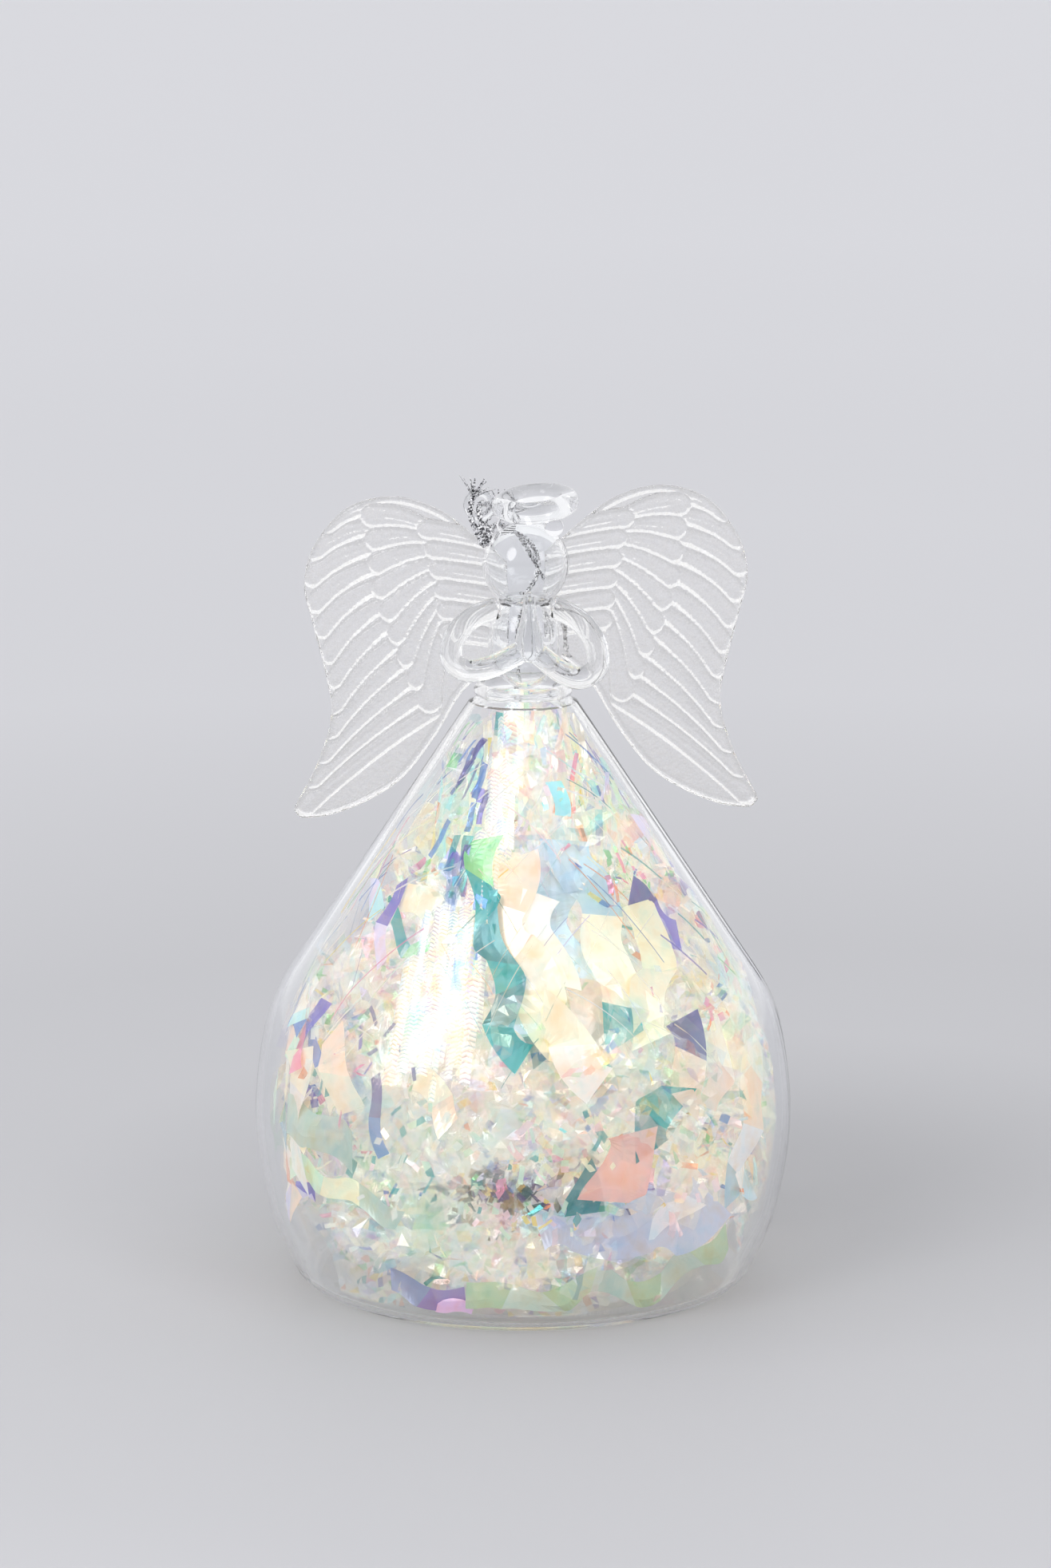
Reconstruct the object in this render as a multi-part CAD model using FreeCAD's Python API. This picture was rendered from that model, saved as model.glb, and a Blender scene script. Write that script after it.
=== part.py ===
import FreeCAD, Part
import math
import os

# Lampworked glass angel with a light unit in its base. Millimetres, +Z up. The origin is the
# centre of the foot, on the table, and the figure faces -Y. Left and right are the viewer's:
# -X is left.

# ---- driving dimensions -------------------------------------------------------------------
GLASS_WALL = 1.2            # blown skirt
BULB_WALL = 0.8             # head and torso bulbs
FIGURE_X = 0.4              # the head and torso stand this far right of the skirt's axis

FOOT_INNER_R = 29.0
FOOT_OUTER_R = 34.6
FOOT_ROUND_R = 4.0
FOOT_ROUND_DEG = 65.0
SKIRT_MAX_R = 44.4
SKIRT_MAX_Z = 26.0
CONE_START_R = 38.2
CONE_START_Z = 52.3
CONE_TOP_R = 8.9
CONE_TOP_Z = 96.4
SKIRT_TOP_Z = 98.4

NECK_BORE_R = 14.0          # glass collar in the base that takes the light plug
NECK_TOP_Z = 9.6

WAIST_RING_R = 7.0
WAIST_RING_Z = 98.2
WAIST_ROD_R = 1.1
TORSO_CENTRE_Z = 106.3
TORSO_RX = 6.2
TORSO_RZ = 7.9
NECK_COLLAR_Z = 112.9
HEAD_CENTRE_Z = 118.8
HEAD_R = 7.1

HALO_CENTRE = (2.0, 0.0, 128.7)
HALO_RING_R = 5.35
HALO_ROD_R = 1.8
HALO_FRONT_DIP_DEG = 10.0
HALO_RIGHT_RISE_DEG = 5.0
HALO_SEAL_R = 1.6
EYE_CENTRE = (-7.1, 1.5, 128.3)
EYE_RING_R = 1.95
EYE_ROD_R = 0.65

ARM_ROD_R = 1.85
HAND_CENTRE = (1.0, -10.0)

WING_THICKNESS = 2.4
WING_SEAL_R = 2.2
WING_FRONT_Y = 7.4
WING_SWEEP_DEG = 7.0
LEFT_WING_SHIFT = (0.0, 0.0, -0.5)
RIGHT_WING_SHIFT = (0.9, 0.0, 1.4)

PLUG_R = 13.2
PLUG_BOTTOM_Z = 1.2
PLUG_FLOOR_Z = 2.4
PLUG_DECK_Z = 8.2
PLUG_TOP_Z = 9.4
PLUG_WALL = 1.0
TUBE_Y = 2.6                # battery tube, set back to leave room for the switch
TUBE_R = 7.6
TUBE_BORE_R = 6.5
TUBE_TOP_Z = 24.0
COLLAR_R = 9.9
LID_R = 8.3
LID_GAP = 0.1
LUG_R = 9.25
LUG_HALF_DEG = 14.0
LID_TURN_DEG = 40.0
CELL_R = 5.8
CELL_HEIGHT = 5.4
CELL_START_Z = 4.7
CELL_PITCH = 5.45
CELL_COUNT = 3
SWITCH_Y = -9.7
SWITCH_TRAVEL = 2.4

CORD_R = 0.5
KNOT_CENTRE = (-6.3, -2.2, 123.9)
WIRE_R = 0.4
BEAD_R = 1.1
BEAD_LENGTH = 3.4
BEAD_COUNT = 8
FILM_GAP = 1.4              # from the film solids to the glass
FILM_TO_BEAD = 0.3

# Hanging cord, from its knot through the eye, down behind the figure and back to the knot.
CORD_ROUTE = [
    (-6.5, -2.2, 124.8),
    (-7.1, -1.6, 127.0),
    (-7.1, 1.3, 128.7),
    (-6.2, 4.6, 128.2),
    (-4.1, 8.2, 127.0),
    (-1.5, 11.2, 124.4),
    (0.5, 12.2, 120.6),
    (2.5, 13.0, 117.0),
    (4.8, 12.6, 113.4),
    (6.5, 12.3, 109.4),
    (6.9, 12.4, 104.0),
    (7.2, 13.0, 98.4),
    (7.6, 14.8, 92.4),
    (8.2, 18.2, 86.0),
    (8.2, 21.6, 79.6),
    (6.9, 24.6, 74.9),
    (4.4, 26.2, 72.5),
    (1.2, 26.2, 72.7),
    (-1.2, 24.8, 75.5),
    (-2.2, 22.2, 80.0),
    (-2.0, 18.8, 85.8),
    (-1.6, 15.4, 91.6),
    (-1.4, 13.3, 98.0),
    (-1.2, 12.4, 104.2),
    (-0.9, 12.0, 109.4),
    (1.8, 12.2, 113.0),
    (3.2, 11.6, 117.0),
    (2.0, 11.0, 120.9),
    (-0.6, 9.4, 123.8),
    (-3.4, 6.4, 124.9),
    (-5.2, 2.8, 124.5),
    (-6.2, -0.6, 123.9),
]
LONG_TAIL_ROUTE = [
    (-7.5, -2.1, 124.3),
    (-8.7, -1.7, 126.8),
    (-8.4, -1.0, 129.4),
    (-7.5, -0.5, 131.3),
]
SHORT_TAIL_ROUTE = [
    (-7.0, -1.2, 124.5),
    (-7.1, 1.4, 124.4),
    (-5.6, 4.2, 126.0),
    (-3.9, 6.1, 127.9),
    (-2.8, 6.5, 130.1),
]

# Pair of fine enamelled wires that carries the light beads up through the film.
WIRE_ROUTE = [
    (0.0, -10.2, 10.6),
    (-1.2, -10.8, 14.2),
    (-6.2, -12.4, 17.0),
    (-13.4, -12.8, 18.0),
    (-19.2, -15.2, 18.8),
    (-19.8, -20.6, 19.6),
    (-14.6, -23.6, 20.2),
    (-6.0, -22.8, 20.5),
    (3.6, -21.6, 21.4),
    (12.6, -21.6, 24.4),
    (22.0, -19.0, 27.6),
    (28.2, -11.0, 30.0),
    (29.0, 1.0, 32.2),
    (23.6, 12.8, 34.2),
    (13.0, 21.6, 36.4),
    (-1.0, 24.6, 38.2),
    (-14.0, 20.2, 41.0),
    (-22.0, 10.0, 43.4),
    (-22.8, -3.4, 46.0),
    (-15.6, -13.8, 49.2),
    (-3.4, -17.6, 52.0),
    (8.6, -14.6, 55.0),
    (15.0, -5.4, 58.0),
    (13.4, 5.6, 61.2),
    (4.6, 11.2, 64.6),
    (-4.8, 8.0, 68.2),
    (-7.4, -0.4, 72.0),
    (-2.6, -5.8, 76.0),
    (2.6, -3.0, 80.4),
]

Z_AXIS = FreeCAD.Vector(0, 0, 1)


# ---- helpers ------------------------------------------------------------------------------
def vec(point):
    return FreeCAD.Vector(*point)


def revolve(edges):
    """Solid of revolution about Z, from closed edges drawn in the XZ plane."""
    wire = Part.Wire(Part.__sortEdges__(edges))
    return Part.Face(wire).revolve(FreeCAD.Vector(), Z_AXIS, 360)


def rz(radius, height):
    """Point of a turned outline: radius along X, height along Z."""
    return FreeCAD.Vector(radius, 0, height)


def line(start, end):
    return Part.LineSegment(start, end).toShape()


def arc(start, middle, end):
    return Part.Arc(start, middle, end).toShape()


def cap_arc(edge_r, edge_z, top_z):
    """Arc centred on the axis, from a rim up or down to the axis: it turns into a ball cap."""
    rise = top_z - edge_z
    radius = (edge_r ** 2 + rise ** 2) / (2 * rise)
    half_angle = math.asin(edge_r / abs(radius)) / 2
    middle = rz(abs(radius) * math.sin(half_angle), top_z - radius * (1 - math.cos(half_angle)))
    return arc(rz(edge_r, edge_z), middle, rz(0, top_z))


def spline(points, first_tangent, last_tangent):
    curve = Part.BSplineCurve()
    curve.interpolate(Points=points, InitialTangent=first_tangent, FinalTangent=last_tangent)
    return curve.toShape()


def cylinder(radius, bottom, top, centre=(0.0, 0.0)):
    return Part.makeCylinder(radius, top - bottom, FreeCAD.Vector(centre[0], centre[1], bottom))


def box(low, high):
    size = vec(high) - vec(low)
    return Part.makeBox(size.x, size.y, size.z, vec(low))


def sector(inner, outer, bottom, top, centre, middle_deg, half_deg):
    """Part of a ring about a vertical axis, centred on the angle middle_deg."""
    base = FreeCAD.Vector(centre[0], centre[1], bottom)
    whole = Part.makeCylinder(outer, top - bottom, base, Z_AXIS, 2 * half_deg)
    hole = Part.makeCylinder(inner, top - bottom, base)
    piece = whole.cut(hole)
    piece.rotate(base, Z_AXIS, middle_deg - half_deg)
    return piece


def egg(centre, side_radius, half_height):
    """Ellipsoid with a vertical axis, taller than it is wide."""
    ellipse = Part.Ellipse(rz(0, half_height), rz(side_radius, 0), FreeCAD.Vector())
    side = Part.ArcOfEllipse(ellipse, 0, math.pi).toShape()
    solid = revolve([side, line(rz(0, half_height), rz(0, -half_height))])
    solid.translate(vec(centre))
    return solid


def rounded_path(points):
    """Straight runs joined by tangent arcs, each as large as its two runs allow."""
    corners = [vec(point) for point in points]
    edges = []
    radii = []
    start = corners[0]
    for before, corner, after in zip(corners, corners[1:], corners[2:]):
        way_in = (corner - before).normalize()
        way_out = (after - corner).normalize()
        half_turn = way_in.getAngle(way_out) / 2
        reach = 0.45 * min((corner - before).Length, (after - corner).Length)
        radius = reach / math.tan(half_turn)
        inward = (way_out - way_in).normalize()
        middle = corner + inward * (radius / math.cos(half_turn) - radius)
        arc_start = corner - way_in * reach
        arc_end = corner + way_out * reach
        edges.append(line(start, arc_start))
        edges.append(arc(arc_start, middle, arc_end))
        radii.append(radius)
        start = arc_end
    edges.append(line(start, corners[-1]))
    return Part.Wire(edges), radii


def tube(points, radius):
    """Round rod or cord along a rounded path."""
    path, radii = rounded_path(points)
    direction = vec(points[1]) - vec(points[0])
    section = Part.Wire(Part.makeCircle(radius, vec(points[0]), direction))
    sweep = Part.BRepOffsetAPI.MakePipeShell(path)
    sweep.add(section)
    sweep.build()
    sweep.makeSolid()
    return sweep.shape(), path, radii


def report_tube(name, shape, path, radii, radius):
    """Prints a cord's length, its smallest radius and its volume against section times length."""
    expected = math.pi * radius ** 2 * path.Length
    print(name, "length", round(path.Length, 1), "volume ratio", round(shape.Volume / expected, 3))
    print(name, "radii", [round(value, 1) for value in radii])


# ---- glass --------------------------------------------------------------------------------
def inset_point(radius, height, tangent_deg, inset):
    """Point of the skirt's outline moved inwards, square to the outline's direction there."""
    tangent = math.radians(tangent_deg)
    return rz(radius - inset * math.sin(tangent), height + inset * math.cos(tangent))


def skirt_outline(inset):
    """Side of the bell from the foot edge to the crown, moved inwards by inset."""
    cone_slope = (CONE_START_R - CONE_TOP_R) / (CONE_TOP_Z - CONE_START_Z)
    cone_deg = 90 + math.degrees(math.atan(cone_slope))
    foot_end = math.radians(FOOT_ROUND_DEG)
    belly_start_r = FOOT_OUTER_R + FOOT_ROUND_R * math.sin(foot_end)
    belly_start_z = FOOT_ROUND_R * (1 - math.cos(foot_end))
    belly = [
        (belly_start_r, belly_start_z, FOOT_ROUND_DEG),
        (40.9, 8.0, 69.0),
        (43.1, 16.0, 79.0),
        (SKIRT_MAX_R, SKIRT_MAX_Z, 90.0),
        (43.2, 40.0, 109.0),
        (CONE_START_R, CONE_START_Z, cone_deg),
    ]
    belly_points = [inset_point(radius, height, tangent, inset) for radius, height, tangent in belly]
    foot_edge = inset_point(FOOT_OUTER_R, 0, 0, inset)
    half_foot = foot_end / 2
    foot_round = inset_point(FOOT_OUTER_R + FOOT_ROUND_R * math.sin(half_foot),
                             FOOT_ROUND_R * (1 - math.cos(half_foot)), FOOT_ROUND_DEG / 2, inset)
    cone_top = inset_point(CONE_TOP_R, CONE_TOP_Z, cone_deg, inset)
    first_tangent = rz(math.cos(foot_end), math.sin(foot_end))
    return [
        arc(foot_edge, foot_round, belly_points[0]),
        spline(belly_points, first_tangent, rz(-cone_slope, 1)),
        line(belly_points[-1], cone_top),
        cap_arc(cone_top.x, cone_top.z, SKIRT_TOP_Z - inset),
    ]


def skirt_envelope():
    edges = skirt_outline(0.0)
    edges.append(line(rz(0, 0), rz(FOOT_OUTER_R, 0)))
    edges.append(line(rz(0, 0), rz(0, SKIRT_TOP_Z)))
    return revolve(edges)


def skirt_shell():
    neck_outer = NECK_BORE_R + GLASS_WALL
    edges = skirt_outline(0.0) + skirt_outline(GLASS_WALL)
    edges += [
        line(rz(0, SKIRT_TOP_Z), rz(0, SKIRT_TOP_Z - GLASS_WALL)),
        line(rz(FOOT_OUTER_R, 0), rz(FOOT_INNER_R, 0)),
        line(rz(FOOT_INNER_R, 0), rz(16.4, 1.4)),
        arc(rz(16.4, 1.4), rz(14.7, 2.2), rz(NECK_BORE_R, 3.6)),
        line(rz(NECK_BORE_R, 3.6), rz(NECK_BORE_R, NECK_TOP_Z)),
        arc(rz(NECK_BORE_R, NECK_TOP_Z), rz(NECK_BORE_R + GLASS_WALL / 2, NECK_TOP_Z + 0.5),
            rz(neck_outer, NECK_TOP_Z)),
        line(rz(neck_outer, NECK_TOP_Z), rz(neck_outer, 4.4)),
        arc(rz(neck_outer, 4.4), rz(15.8, 3.2), rz(17.2, 2.7)),
        line(rz(17.2, 2.7), rz(FOOT_OUTER_R, GLASS_WALL)),
    ]
    return revolve(edges)


def torso_envelope():
    return egg((FIGURE_X, 0, TORSO_CENTRE_Z), TORSO_RX, TORSO_RZ)


def head_envelope():
    return Part.makeSphere(HEAD_R, FreeCAD.Vector(FIGURE_X, 0, HEAD_CENTRE_Z))


def torso_bulb(skirt, head):
    inner = egg((FIGURE_X, 0, TORSO_CENTRE_Z), TORSO_RX - BULB_WALL, TORSO_RZ - BULB_WALL)
    return torso_envelope().cut(inner).cut(skirt).cut(head)


def head_globe():
    inner = Part.makeSphere(HEAD_R - BULB_WALL, FreeCAD.Vector(FIGURE_X, 0, HEAD_CENTRE_Z))
    return head_envelope().cut(inner)


def ring(centre, ring_radius, rod_radius, direction=Z_AXIS):
    return Part.makeTorus(ring_radius, rod_radius, vec(centre), direction)


def halo_ring():
    halo = ring(HALO_CENTRE, HALO_RING_R, HALO_ROD_R)
    halo.rotate(vec(HALO_CENTRE), FreeCAD.Vector(1, 0, 0), HALO_FRONT_DIP_DEG)
    halo.rotate(vec(HALO_CENTRE), FreeCAD.Vector(0, 1, 0), -HALO_RIGHT_RISE_DEG)
    return halo


def arm_routes():
    left = [(-4.0, -2.4, 112.0), (-8.6, -3.6, 110.6), (-11.4, -5.0, 107.4), (-11.9, -6.6, 103.8),
            (-9.2, -8.0, 102.2), (-5.0, -9.2, 103.2), (-0.4, -10.0, 105.8)]
    right = [(4.8, -2.4, 112.2), (9.4, -3.6, 110.2), (12.0, -5.0, 106.4), (12.3, -6.6, 102.6),
             (9.4, -8.0, 100.9), (6.0, -9.2, 102.4), (2.4, -10.0, 105.6)]
    return left, right


def hands():
    """Pair of hands pressed together: a tall drop split down its middle."""
    x, y = HAND_CENTRE
    palm = spline([rz(2.35, 106.4), rz(2.1, 108.6), rz(1.4, 111.2), rz(1.0, 114.7)],
                  rz(0, 1), rz(-0.05, 1))
    side = [
        cap_arc(2.35, 106.4, 104.1),
        palm,
        cap_arc(1.0, 114.7, 115.6),
        line(rz(0, 115.6), rz(0, 104.1)),
    ]
    drop = revolve(side)
    drop.translate(FreeCAD.Vector(x, y, 0))
    left = drop.common(box((x - 5, y - 5, 100), (x, y + 5, 120)))
    right = drop.common(box((x, y - 5, 100), (x + 5, y + 5, 120)))
    return left, right


def wing():
    """Pressed glass wing on the right-hand side. X is the way out, before its sweep."""
    top = [(3.2, 118.6), (8.6, 123.2), (14.2, 127.2), (21.7, 129.2), (29.4, 127.2), (34.9, 121.0),
           (36.7, 114.4), (35.2, 107.4), (33.2, 99.4), (32.3, 92.6), (34.6, 84.6), (38.4, 77.2)]
    bottom = [(36.8, 74.9), (32.2, 75.6), (26.0, 78.2), (20.2, 82.2), (14.8, 89.2), (10.0, 97.0),
              (3.2, 102.6)]
    trailing = Part.BSplineCurve()
    trailing.interpolate(Points=[FreeCAD.Vector(u, WING_FRONT_Y, z) for u, z in top])
    leading = Part.BSplineCurve()
    leading.interpolate(Points=[FreeCAD.Vector(u, WING_FRONT_Y, z) for u, z in bottom])
    tip = arc(FreeCAD.Vector(38.4, WING_FRONT_Y, 77.2), FreeCAD.Vector(38.2, WING_FRONT_Y, 75.4),
              FreeCAD.Vector(36.8, WING_FRONT_Y, 74.9))
    root = line(FreeCAD.Vector(3.2, WING_FRONT_Y, 102.6), FreeCAD.Vector(3.2, WING_FRONT_Y, 118.6))
    face = Part.Face(Part.Wire([trailing.toShape(), tip, leading.toShape(), root]))
    plate = face.extrude(FreeCAD.Vector(0, WING_THICKNESS, 0))
    plate.rotate(FreeCAD.Vector(3.2, WING_FRONT_Y, 0), Z_AXIS, WING_SWEEP_DEG)
    return plate


def wings():
    right = wing()
    left = right.mirror(FreeCAD.Vector(), FreeCAD.Vector(1, 0, 0))
    left.translate(vec(LEFT_WING_SHIFT))
    right.translate(vec(RIGHT_WING_SHIFT))
    return left, right


# ---- light unit ---------------------------------------------------------------------------
def plug_housing():
    tube_at = (0.0, TUBE_Y)
    body = cylinder(PLUG_R, PLUG_BOTTOM_Z, PLUG_TOP_Z)
    room = cylinder(PLUG_R - PLUG_WALL, PLUG_FLOOR_Z, PLUG_TOP_Z)
    collar = cylinder(COLLAR_R, PLUG_FLOOR_Z, 5.0, tube_at)
    post = cylinder(TUBE_R, PLUG_FLOOR_Z, TUBE_TOP_Z, tube_at)
    body = body.cut(room).fuse(collar.common(cylinder(PLUG_R, 0, 6))).fuse(post)
    body = body.cut(cylinder(TUBE_BORE_R, 3.75, TUBE_TOP_Z - 1.0, tube_at))
    body = body.cut(cylinder(LID_R + LID_GAP, PLUG_BOTTOM_Z, 3.75, tube_at))
    for angle in (0.0, 180.0):
        slot_half = LUG_HALF_DEG + 1.5
        groove_middle = angle + LID_TURN_DEG / 2
        groove_half = slot_half + LID_TURN_DEG / 2
        body = body.cut(sector(LID_R, LUG_R + LID_GAP, 2.75, 3.75, tube_at, groove_middle, groove_half))
        body = body.cut(sector(LID_R, LUG_R + LID_GAP, PLUG_BOTTOM_Z, 3.75, tube_at,
                               angle + LID_TURN_DEG, slot_half))
    slot = box((-2.35, SWITCH_Y - 1.1, PLUG_BOTTOM_Z - 1), (2.35, SWITCH_Y + 1.1, PLUG_FLOOR_Z))
    return body.cut(slot).removeSplitter()


def plug_cover():
    deck = cylinder(PLUG_R - PLUG_WALL, PLUG_DECK_Z, PLUG_TOP_Z)
    deck = deck.cut(cylinder(TUBE_R, PLUG_DECK_Z - 1, PLUG_TOP_Z + 1, (0.0, TUBE_Y)))
    return deck.cut(cylinder(0.9, PLUG_DECK_Z - 1, PLUG_TOP_Z + 1, (0.0, -10.2)))


def plug_gasket():
    """Ribbed silicone band squeezed between the plug and the glass collar."""
    sleeve = cylinder(NECK_BORE_R - 0.3, 3.8, 9.0)
    for rib_z in (4.4, 6.0, 7.6):
        sleeve = sleeve.fuse(cylinder(NECK_BORE_R, rib_z, rib_z + 0.8))
    return sleeve.cut(cylinder(PLUG_R, 3.0, 10.0)).removeSplitter()


def wire_gland():
    """Blob of set glue where the wires leave the deck."""
    blob = Part.makeCone(1.7, 0.9, 1.4, FreeCAD.Vector(0, -10.2, PLUG_TOP_Z))
    return blob.fuse(cylinder(0.9, PLUG_DECK_Z, PLUG_TOP_Z, (0.0, -10.2))).removeSplitter()


def battery_lid():
    tube_at = (0.0, TUBE_Y)
    lid = cylinder(LID_R, PLUG_BOTTOM_Z, 3.65, tube_at)
    for angle in (0.0, 180.0):
        lid = lid.fuse(sector(LID_R - 0.5, LUG_R, 2.85, 3.65, tube_at, angle, LUG_HALF_DEG))
    lid = lid.cut(cylinder(TUBE_BORE_R - 0.6, 2.6, 4.0, tube_at))
    coin_slot = box((-5.0, TUBE_Y - 0.9, PLUG_BOTTOM_Z - 1), (5.0, TUBE_Y + 0.9, PLUG_BOTTOM_Z + 0.8))
    return lid.cut(coin_slot).removeSplitter()


def lid_contact():
    """Arched spring strip on the lid, under the cells."""
    low = 2.6
    crest = CELL_START_Z - 0.1
    thick = 0.25
    outer = arc(FreeCAD.Vector(-5.0, TUBE_Y - 1.8, low), FreeCAD.Vector(0, TUBE_Y - 1.8, crest),
                FreeCAD.Vector(5.0, TUBE_Y - 1.8, low))
    inner = arc(FreeCAD.Vector(-4.5, TUBE_Y - 1.8, low),
                FreeCAD.Vector(0, TUBE_Y - 1.8, crest - thick),
                FreeCAD.Vector(4.5, TUBE_Y - 1.8, low))
    feet = [line(FreeCAD.Vector(side * 5.0, TUBE_Y - 1.8, low),
                 FreeCAD.Vector(side * 4.5, TUBE_Y - 1.8, low)) for side in (-1, 1)]
    face = Part.Face(Part.Wire(Part.__sortEdges__([outer, inner] + feet)))
    return face.extrude(FreeCAD.Vector(0, 3.6, 0))


def button_cell(index):
    """One cell: wide can below, narrower cap on top."""
    bottom = CELL_START_Z + index * CELL_PITCH
    tube_at = (0.0, TUBE_Y)
    can = cylinder(CELL_R, bottom + 0.35, bottom + CELL_HEIGHT, tube_at)
    cap = cylinder(CELL_R - 0.9, bottom, bottom + 0.35, tube_at)
    return can.fuse(cap).removeSplitter()


def upper_contact():
    """Stepped metal pad that presses on the top cell."""
    tube_at = (0.0, TUBE_Y)
    top_of_cells = CELL_START_Z + (CELL_COUNT - 1) * CELL_PITCH + CELL_HEIGHT
    pad = cylinder(3.2, top_of_cells + 0.05, top_of_cells + 0.4, tube_at)
    plate = cylinder(TUBE_BORE_R - 0.2, TUBE_TOP_Z - 1.3, TUBE_TOP_Z - 1.0, tube_at)
    stem = cylinder(1.4, top_of_cells + 0.4, TUBE_TOP_Z - 1.3, tube_at)
    return pad.fuse(stem).fuse(plate).removeSplitter()


def circuit_board():
    return box((-4.4, -11.1, 6.5), (4.4, -7.7, 7.3))


def resistor():
    return box((-1.3, -9.0, 7.3), (0.9, -8.0, 7.9))


def switch_case():
    case = box((-4.0, SWITCH_Y - 1.5, 3.5), (4.0, SWITCH_Y + 1.5, 6.5))
    return case.cut(box((-2.4, SWITCH_Y - 0.6, 3.5), (2.4, SWITCH_Y + 0.6, 5.1)))


def switch_slider():
    """Thumb slider in its off place: knob, carriage and stem."""
    middle = -SWITCH_TRAVEL / 2
    knob = box((middle - 1.0, SWITCH_Y - 1.0, PLUG_BOTTOM_Z + 0.1), (middle + 1.0, SWITCH_Y + 1.0, 2.5))
    for ridge in (-0.5, 0.5):
        at = middle + ridge
        knob = knob.cut(box((at - 0.15, SWITCH_Y - 1.0, 1.2), (at + 0.15, SWITCH_Y + 1.0, 1.55)))
    carriage = box((middle - 1.9, SWITCH_Y - 1.3, 2.5), (middle + 1.9, SWITCH_Y + 1.3, 3.3))
    stem = box((middle - 1.0, SWITCH_Y - 0.4, 3.3), (middle + 1.0, SWITCH_Y + 0.4, 4.8))
    return knob.fuse(carriage).fuse(stem).removeSplitter()


# ---- film, wires and cord -----------------------------------------------------------------
def film_part(bottom, top, inside):
    """Film that fills the bell between two heights, clear of the plug and the wires."""
    edges = skirt_outline(GLASS_WALL + FILM_GAP)
    edges.append(line(rz(0, GLASS_WALL + FILM_GAP), rz(FOOT_OUTER_R, GLASS_WALL + FILM_GAP)))
    edges.append(line(rz(0, GLASS_WALL + FILM_GAP), rz(0, SKIRT_TOP_Z - GLASS_WALL - FILM_GAP)))
    fill = revolve(edges).common(cylinder(60, bottom, top))
    for obstacle in inside:
        fill = fill.cut(obstacle)
    return fill


def place_along(path, distance):
    """Point and direction at a distance along a path of several edges."""
    for edge in path.Edges:
        if distance <= edge.Length:
            at = edge.getParameterByLength(distance)
            return edge.valueAt(at), edge.tangentAt(at)
        distance -= edge.Length
    raise ValueError("the distance is past the end of the path")


def light_beads(path):
    """Drops of clear resin evenly spaced along the wires, each around one tiny lamp."""
    beads = []
    spacing = path.Length / (BEAD_COUNT + 0.3)
    for index in range(BEAD_COUNT):
        point, direction = place_along(path, spacing * (index + 1))
        bead = egg((0, 0, 0), BEAD_R, BEAD_LENGTH / 2)
        bead.Placement = FreeCAD.Placement(point, FreeCAD.Rotation(Z_AXIS, direction))
        beads.append(bead)
    return beads


def cord_tails():
    """Two cut ends of the cord above the knot, each opened into a frayed brush."""
    ends = []
    for route, fray_length in ((LONG_TAIL_ROUTE, 1.9), (SHORT_TAIL_ROUTE, 1.4)):
        stem, path, radii = tube(route, CORD_R)
        last = vec(route[-1])
        direction = (last - vec(route[-2])).normalize()
        brush = Part.makeCone(CORD_R, 1.5, fray_length, last, direction)
        ends.append(stem.fuse(brush))
    return ends


def save(name, shape):
    """Writes one node and says whether it is sound."""
    state = "valid" if shape.isValid() else "NOT VALID"
    print(name, state, "solids", len(shape.Solids), "volume", round(shape.Volume, 2))
    shape.exportStep("parts/" + name + ".step")


def cut_all(shape, tools):
    for tool in tools:
        shape = shape.cut(tool)
    return shape


def make_glass():
    """Every fused glass piece, each cut back to meet the pieces that it is sealed to."""
    pieces = {}
    skirt = skirt_envelope()
    torso = torso_envelope()
    head = head_envelope()
    pieces["skirt_shell"] = skirt_shell()
    pieces["torso_bulb"] = torso_bulb(skirt, head)
    pieces["head_globe"] = head_globe()
    waist = ring((0, 0, WAIST_RING_Z), WAIST_RING_R, WAIST_ROD_R)
    pieces["waist_ring"] = cut_all(waist, (skirt, torso))
    collar = ring((FIGURE_X, 0, NECK_COLLAR_Z), 3.6, 0.8)
    pieces["neck_collar"] = cut_all(collar, (torso, head))
    halo = halo_ring()
    pieces["halo_ring"] = halo.cut(head)
    for side, centre in (("left", (-2.7, -2.9, 125.5)), ("right", (5.0, -3.2, 125.3))):
        seal = Part.makeSphere(HALO_SEAL_R, vec(centre))
        pieces["halo_seal_" + side] = cut_all(seal, (halo, head))
    eye = ring(EYE_CENTRE, EYE_RING_R, EYE_ROD_R, FreeCAD.Vector(0, 1, 0))
    pieces["hanging_eye"] = eye.cut(halo)

    left_hand, right_hand = hands()
    pieces["left_hand"] = left_hand
    pieces["right_hand"] = right_hand
    for side, route in zip(("left", "right"), arm_routes()):
        rod, path, radii = tube(route, ARM_ROD_R)
        pieces[side + "_arm"] = cut_all(rod, (torso, head, collar, left_hand, right_hand, waist))
    for side, plate in zip(("left", "right"), wings()):
        pieces[side + "_wing"] = cut_all(plate, (torso, head, collar))
    for side, x in (("left", -3.6), ("right", 4.4)):
        stud = Part.makeCylinder(WING_SEAL_R, 5.0, FreeCAD.Vector(x, 3.6, 107.0), FreeCAD.Vector(0, 1, 0))
        pieces["wing_seal_" + side] = cut_all(stud, (torso, pieces[side + "_wing"]))
    return pieces


def make_light_unit():
    pieces = {
        "plug_housing": plug_housing(),
        "plug_cover": plug_cover(),
        "plug_gasket": plug_gasket(),
        "wire_gland": wire_gland(),
        "battery_lid": battery_lid(),
        "lid_contact": lid_contact(),
        "upper_contact": upper_contact(),
        "circuit_board": circuit_board(),
        "resistor": resistor(),
        "switch_case": switch_case(),
        "switch_slider": switch_slider(),
    }
    for index in range(CELL_COUNT):
        pieces["button_cell_" + str(index + 1)] = button_cell(index)
    return pieces


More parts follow.
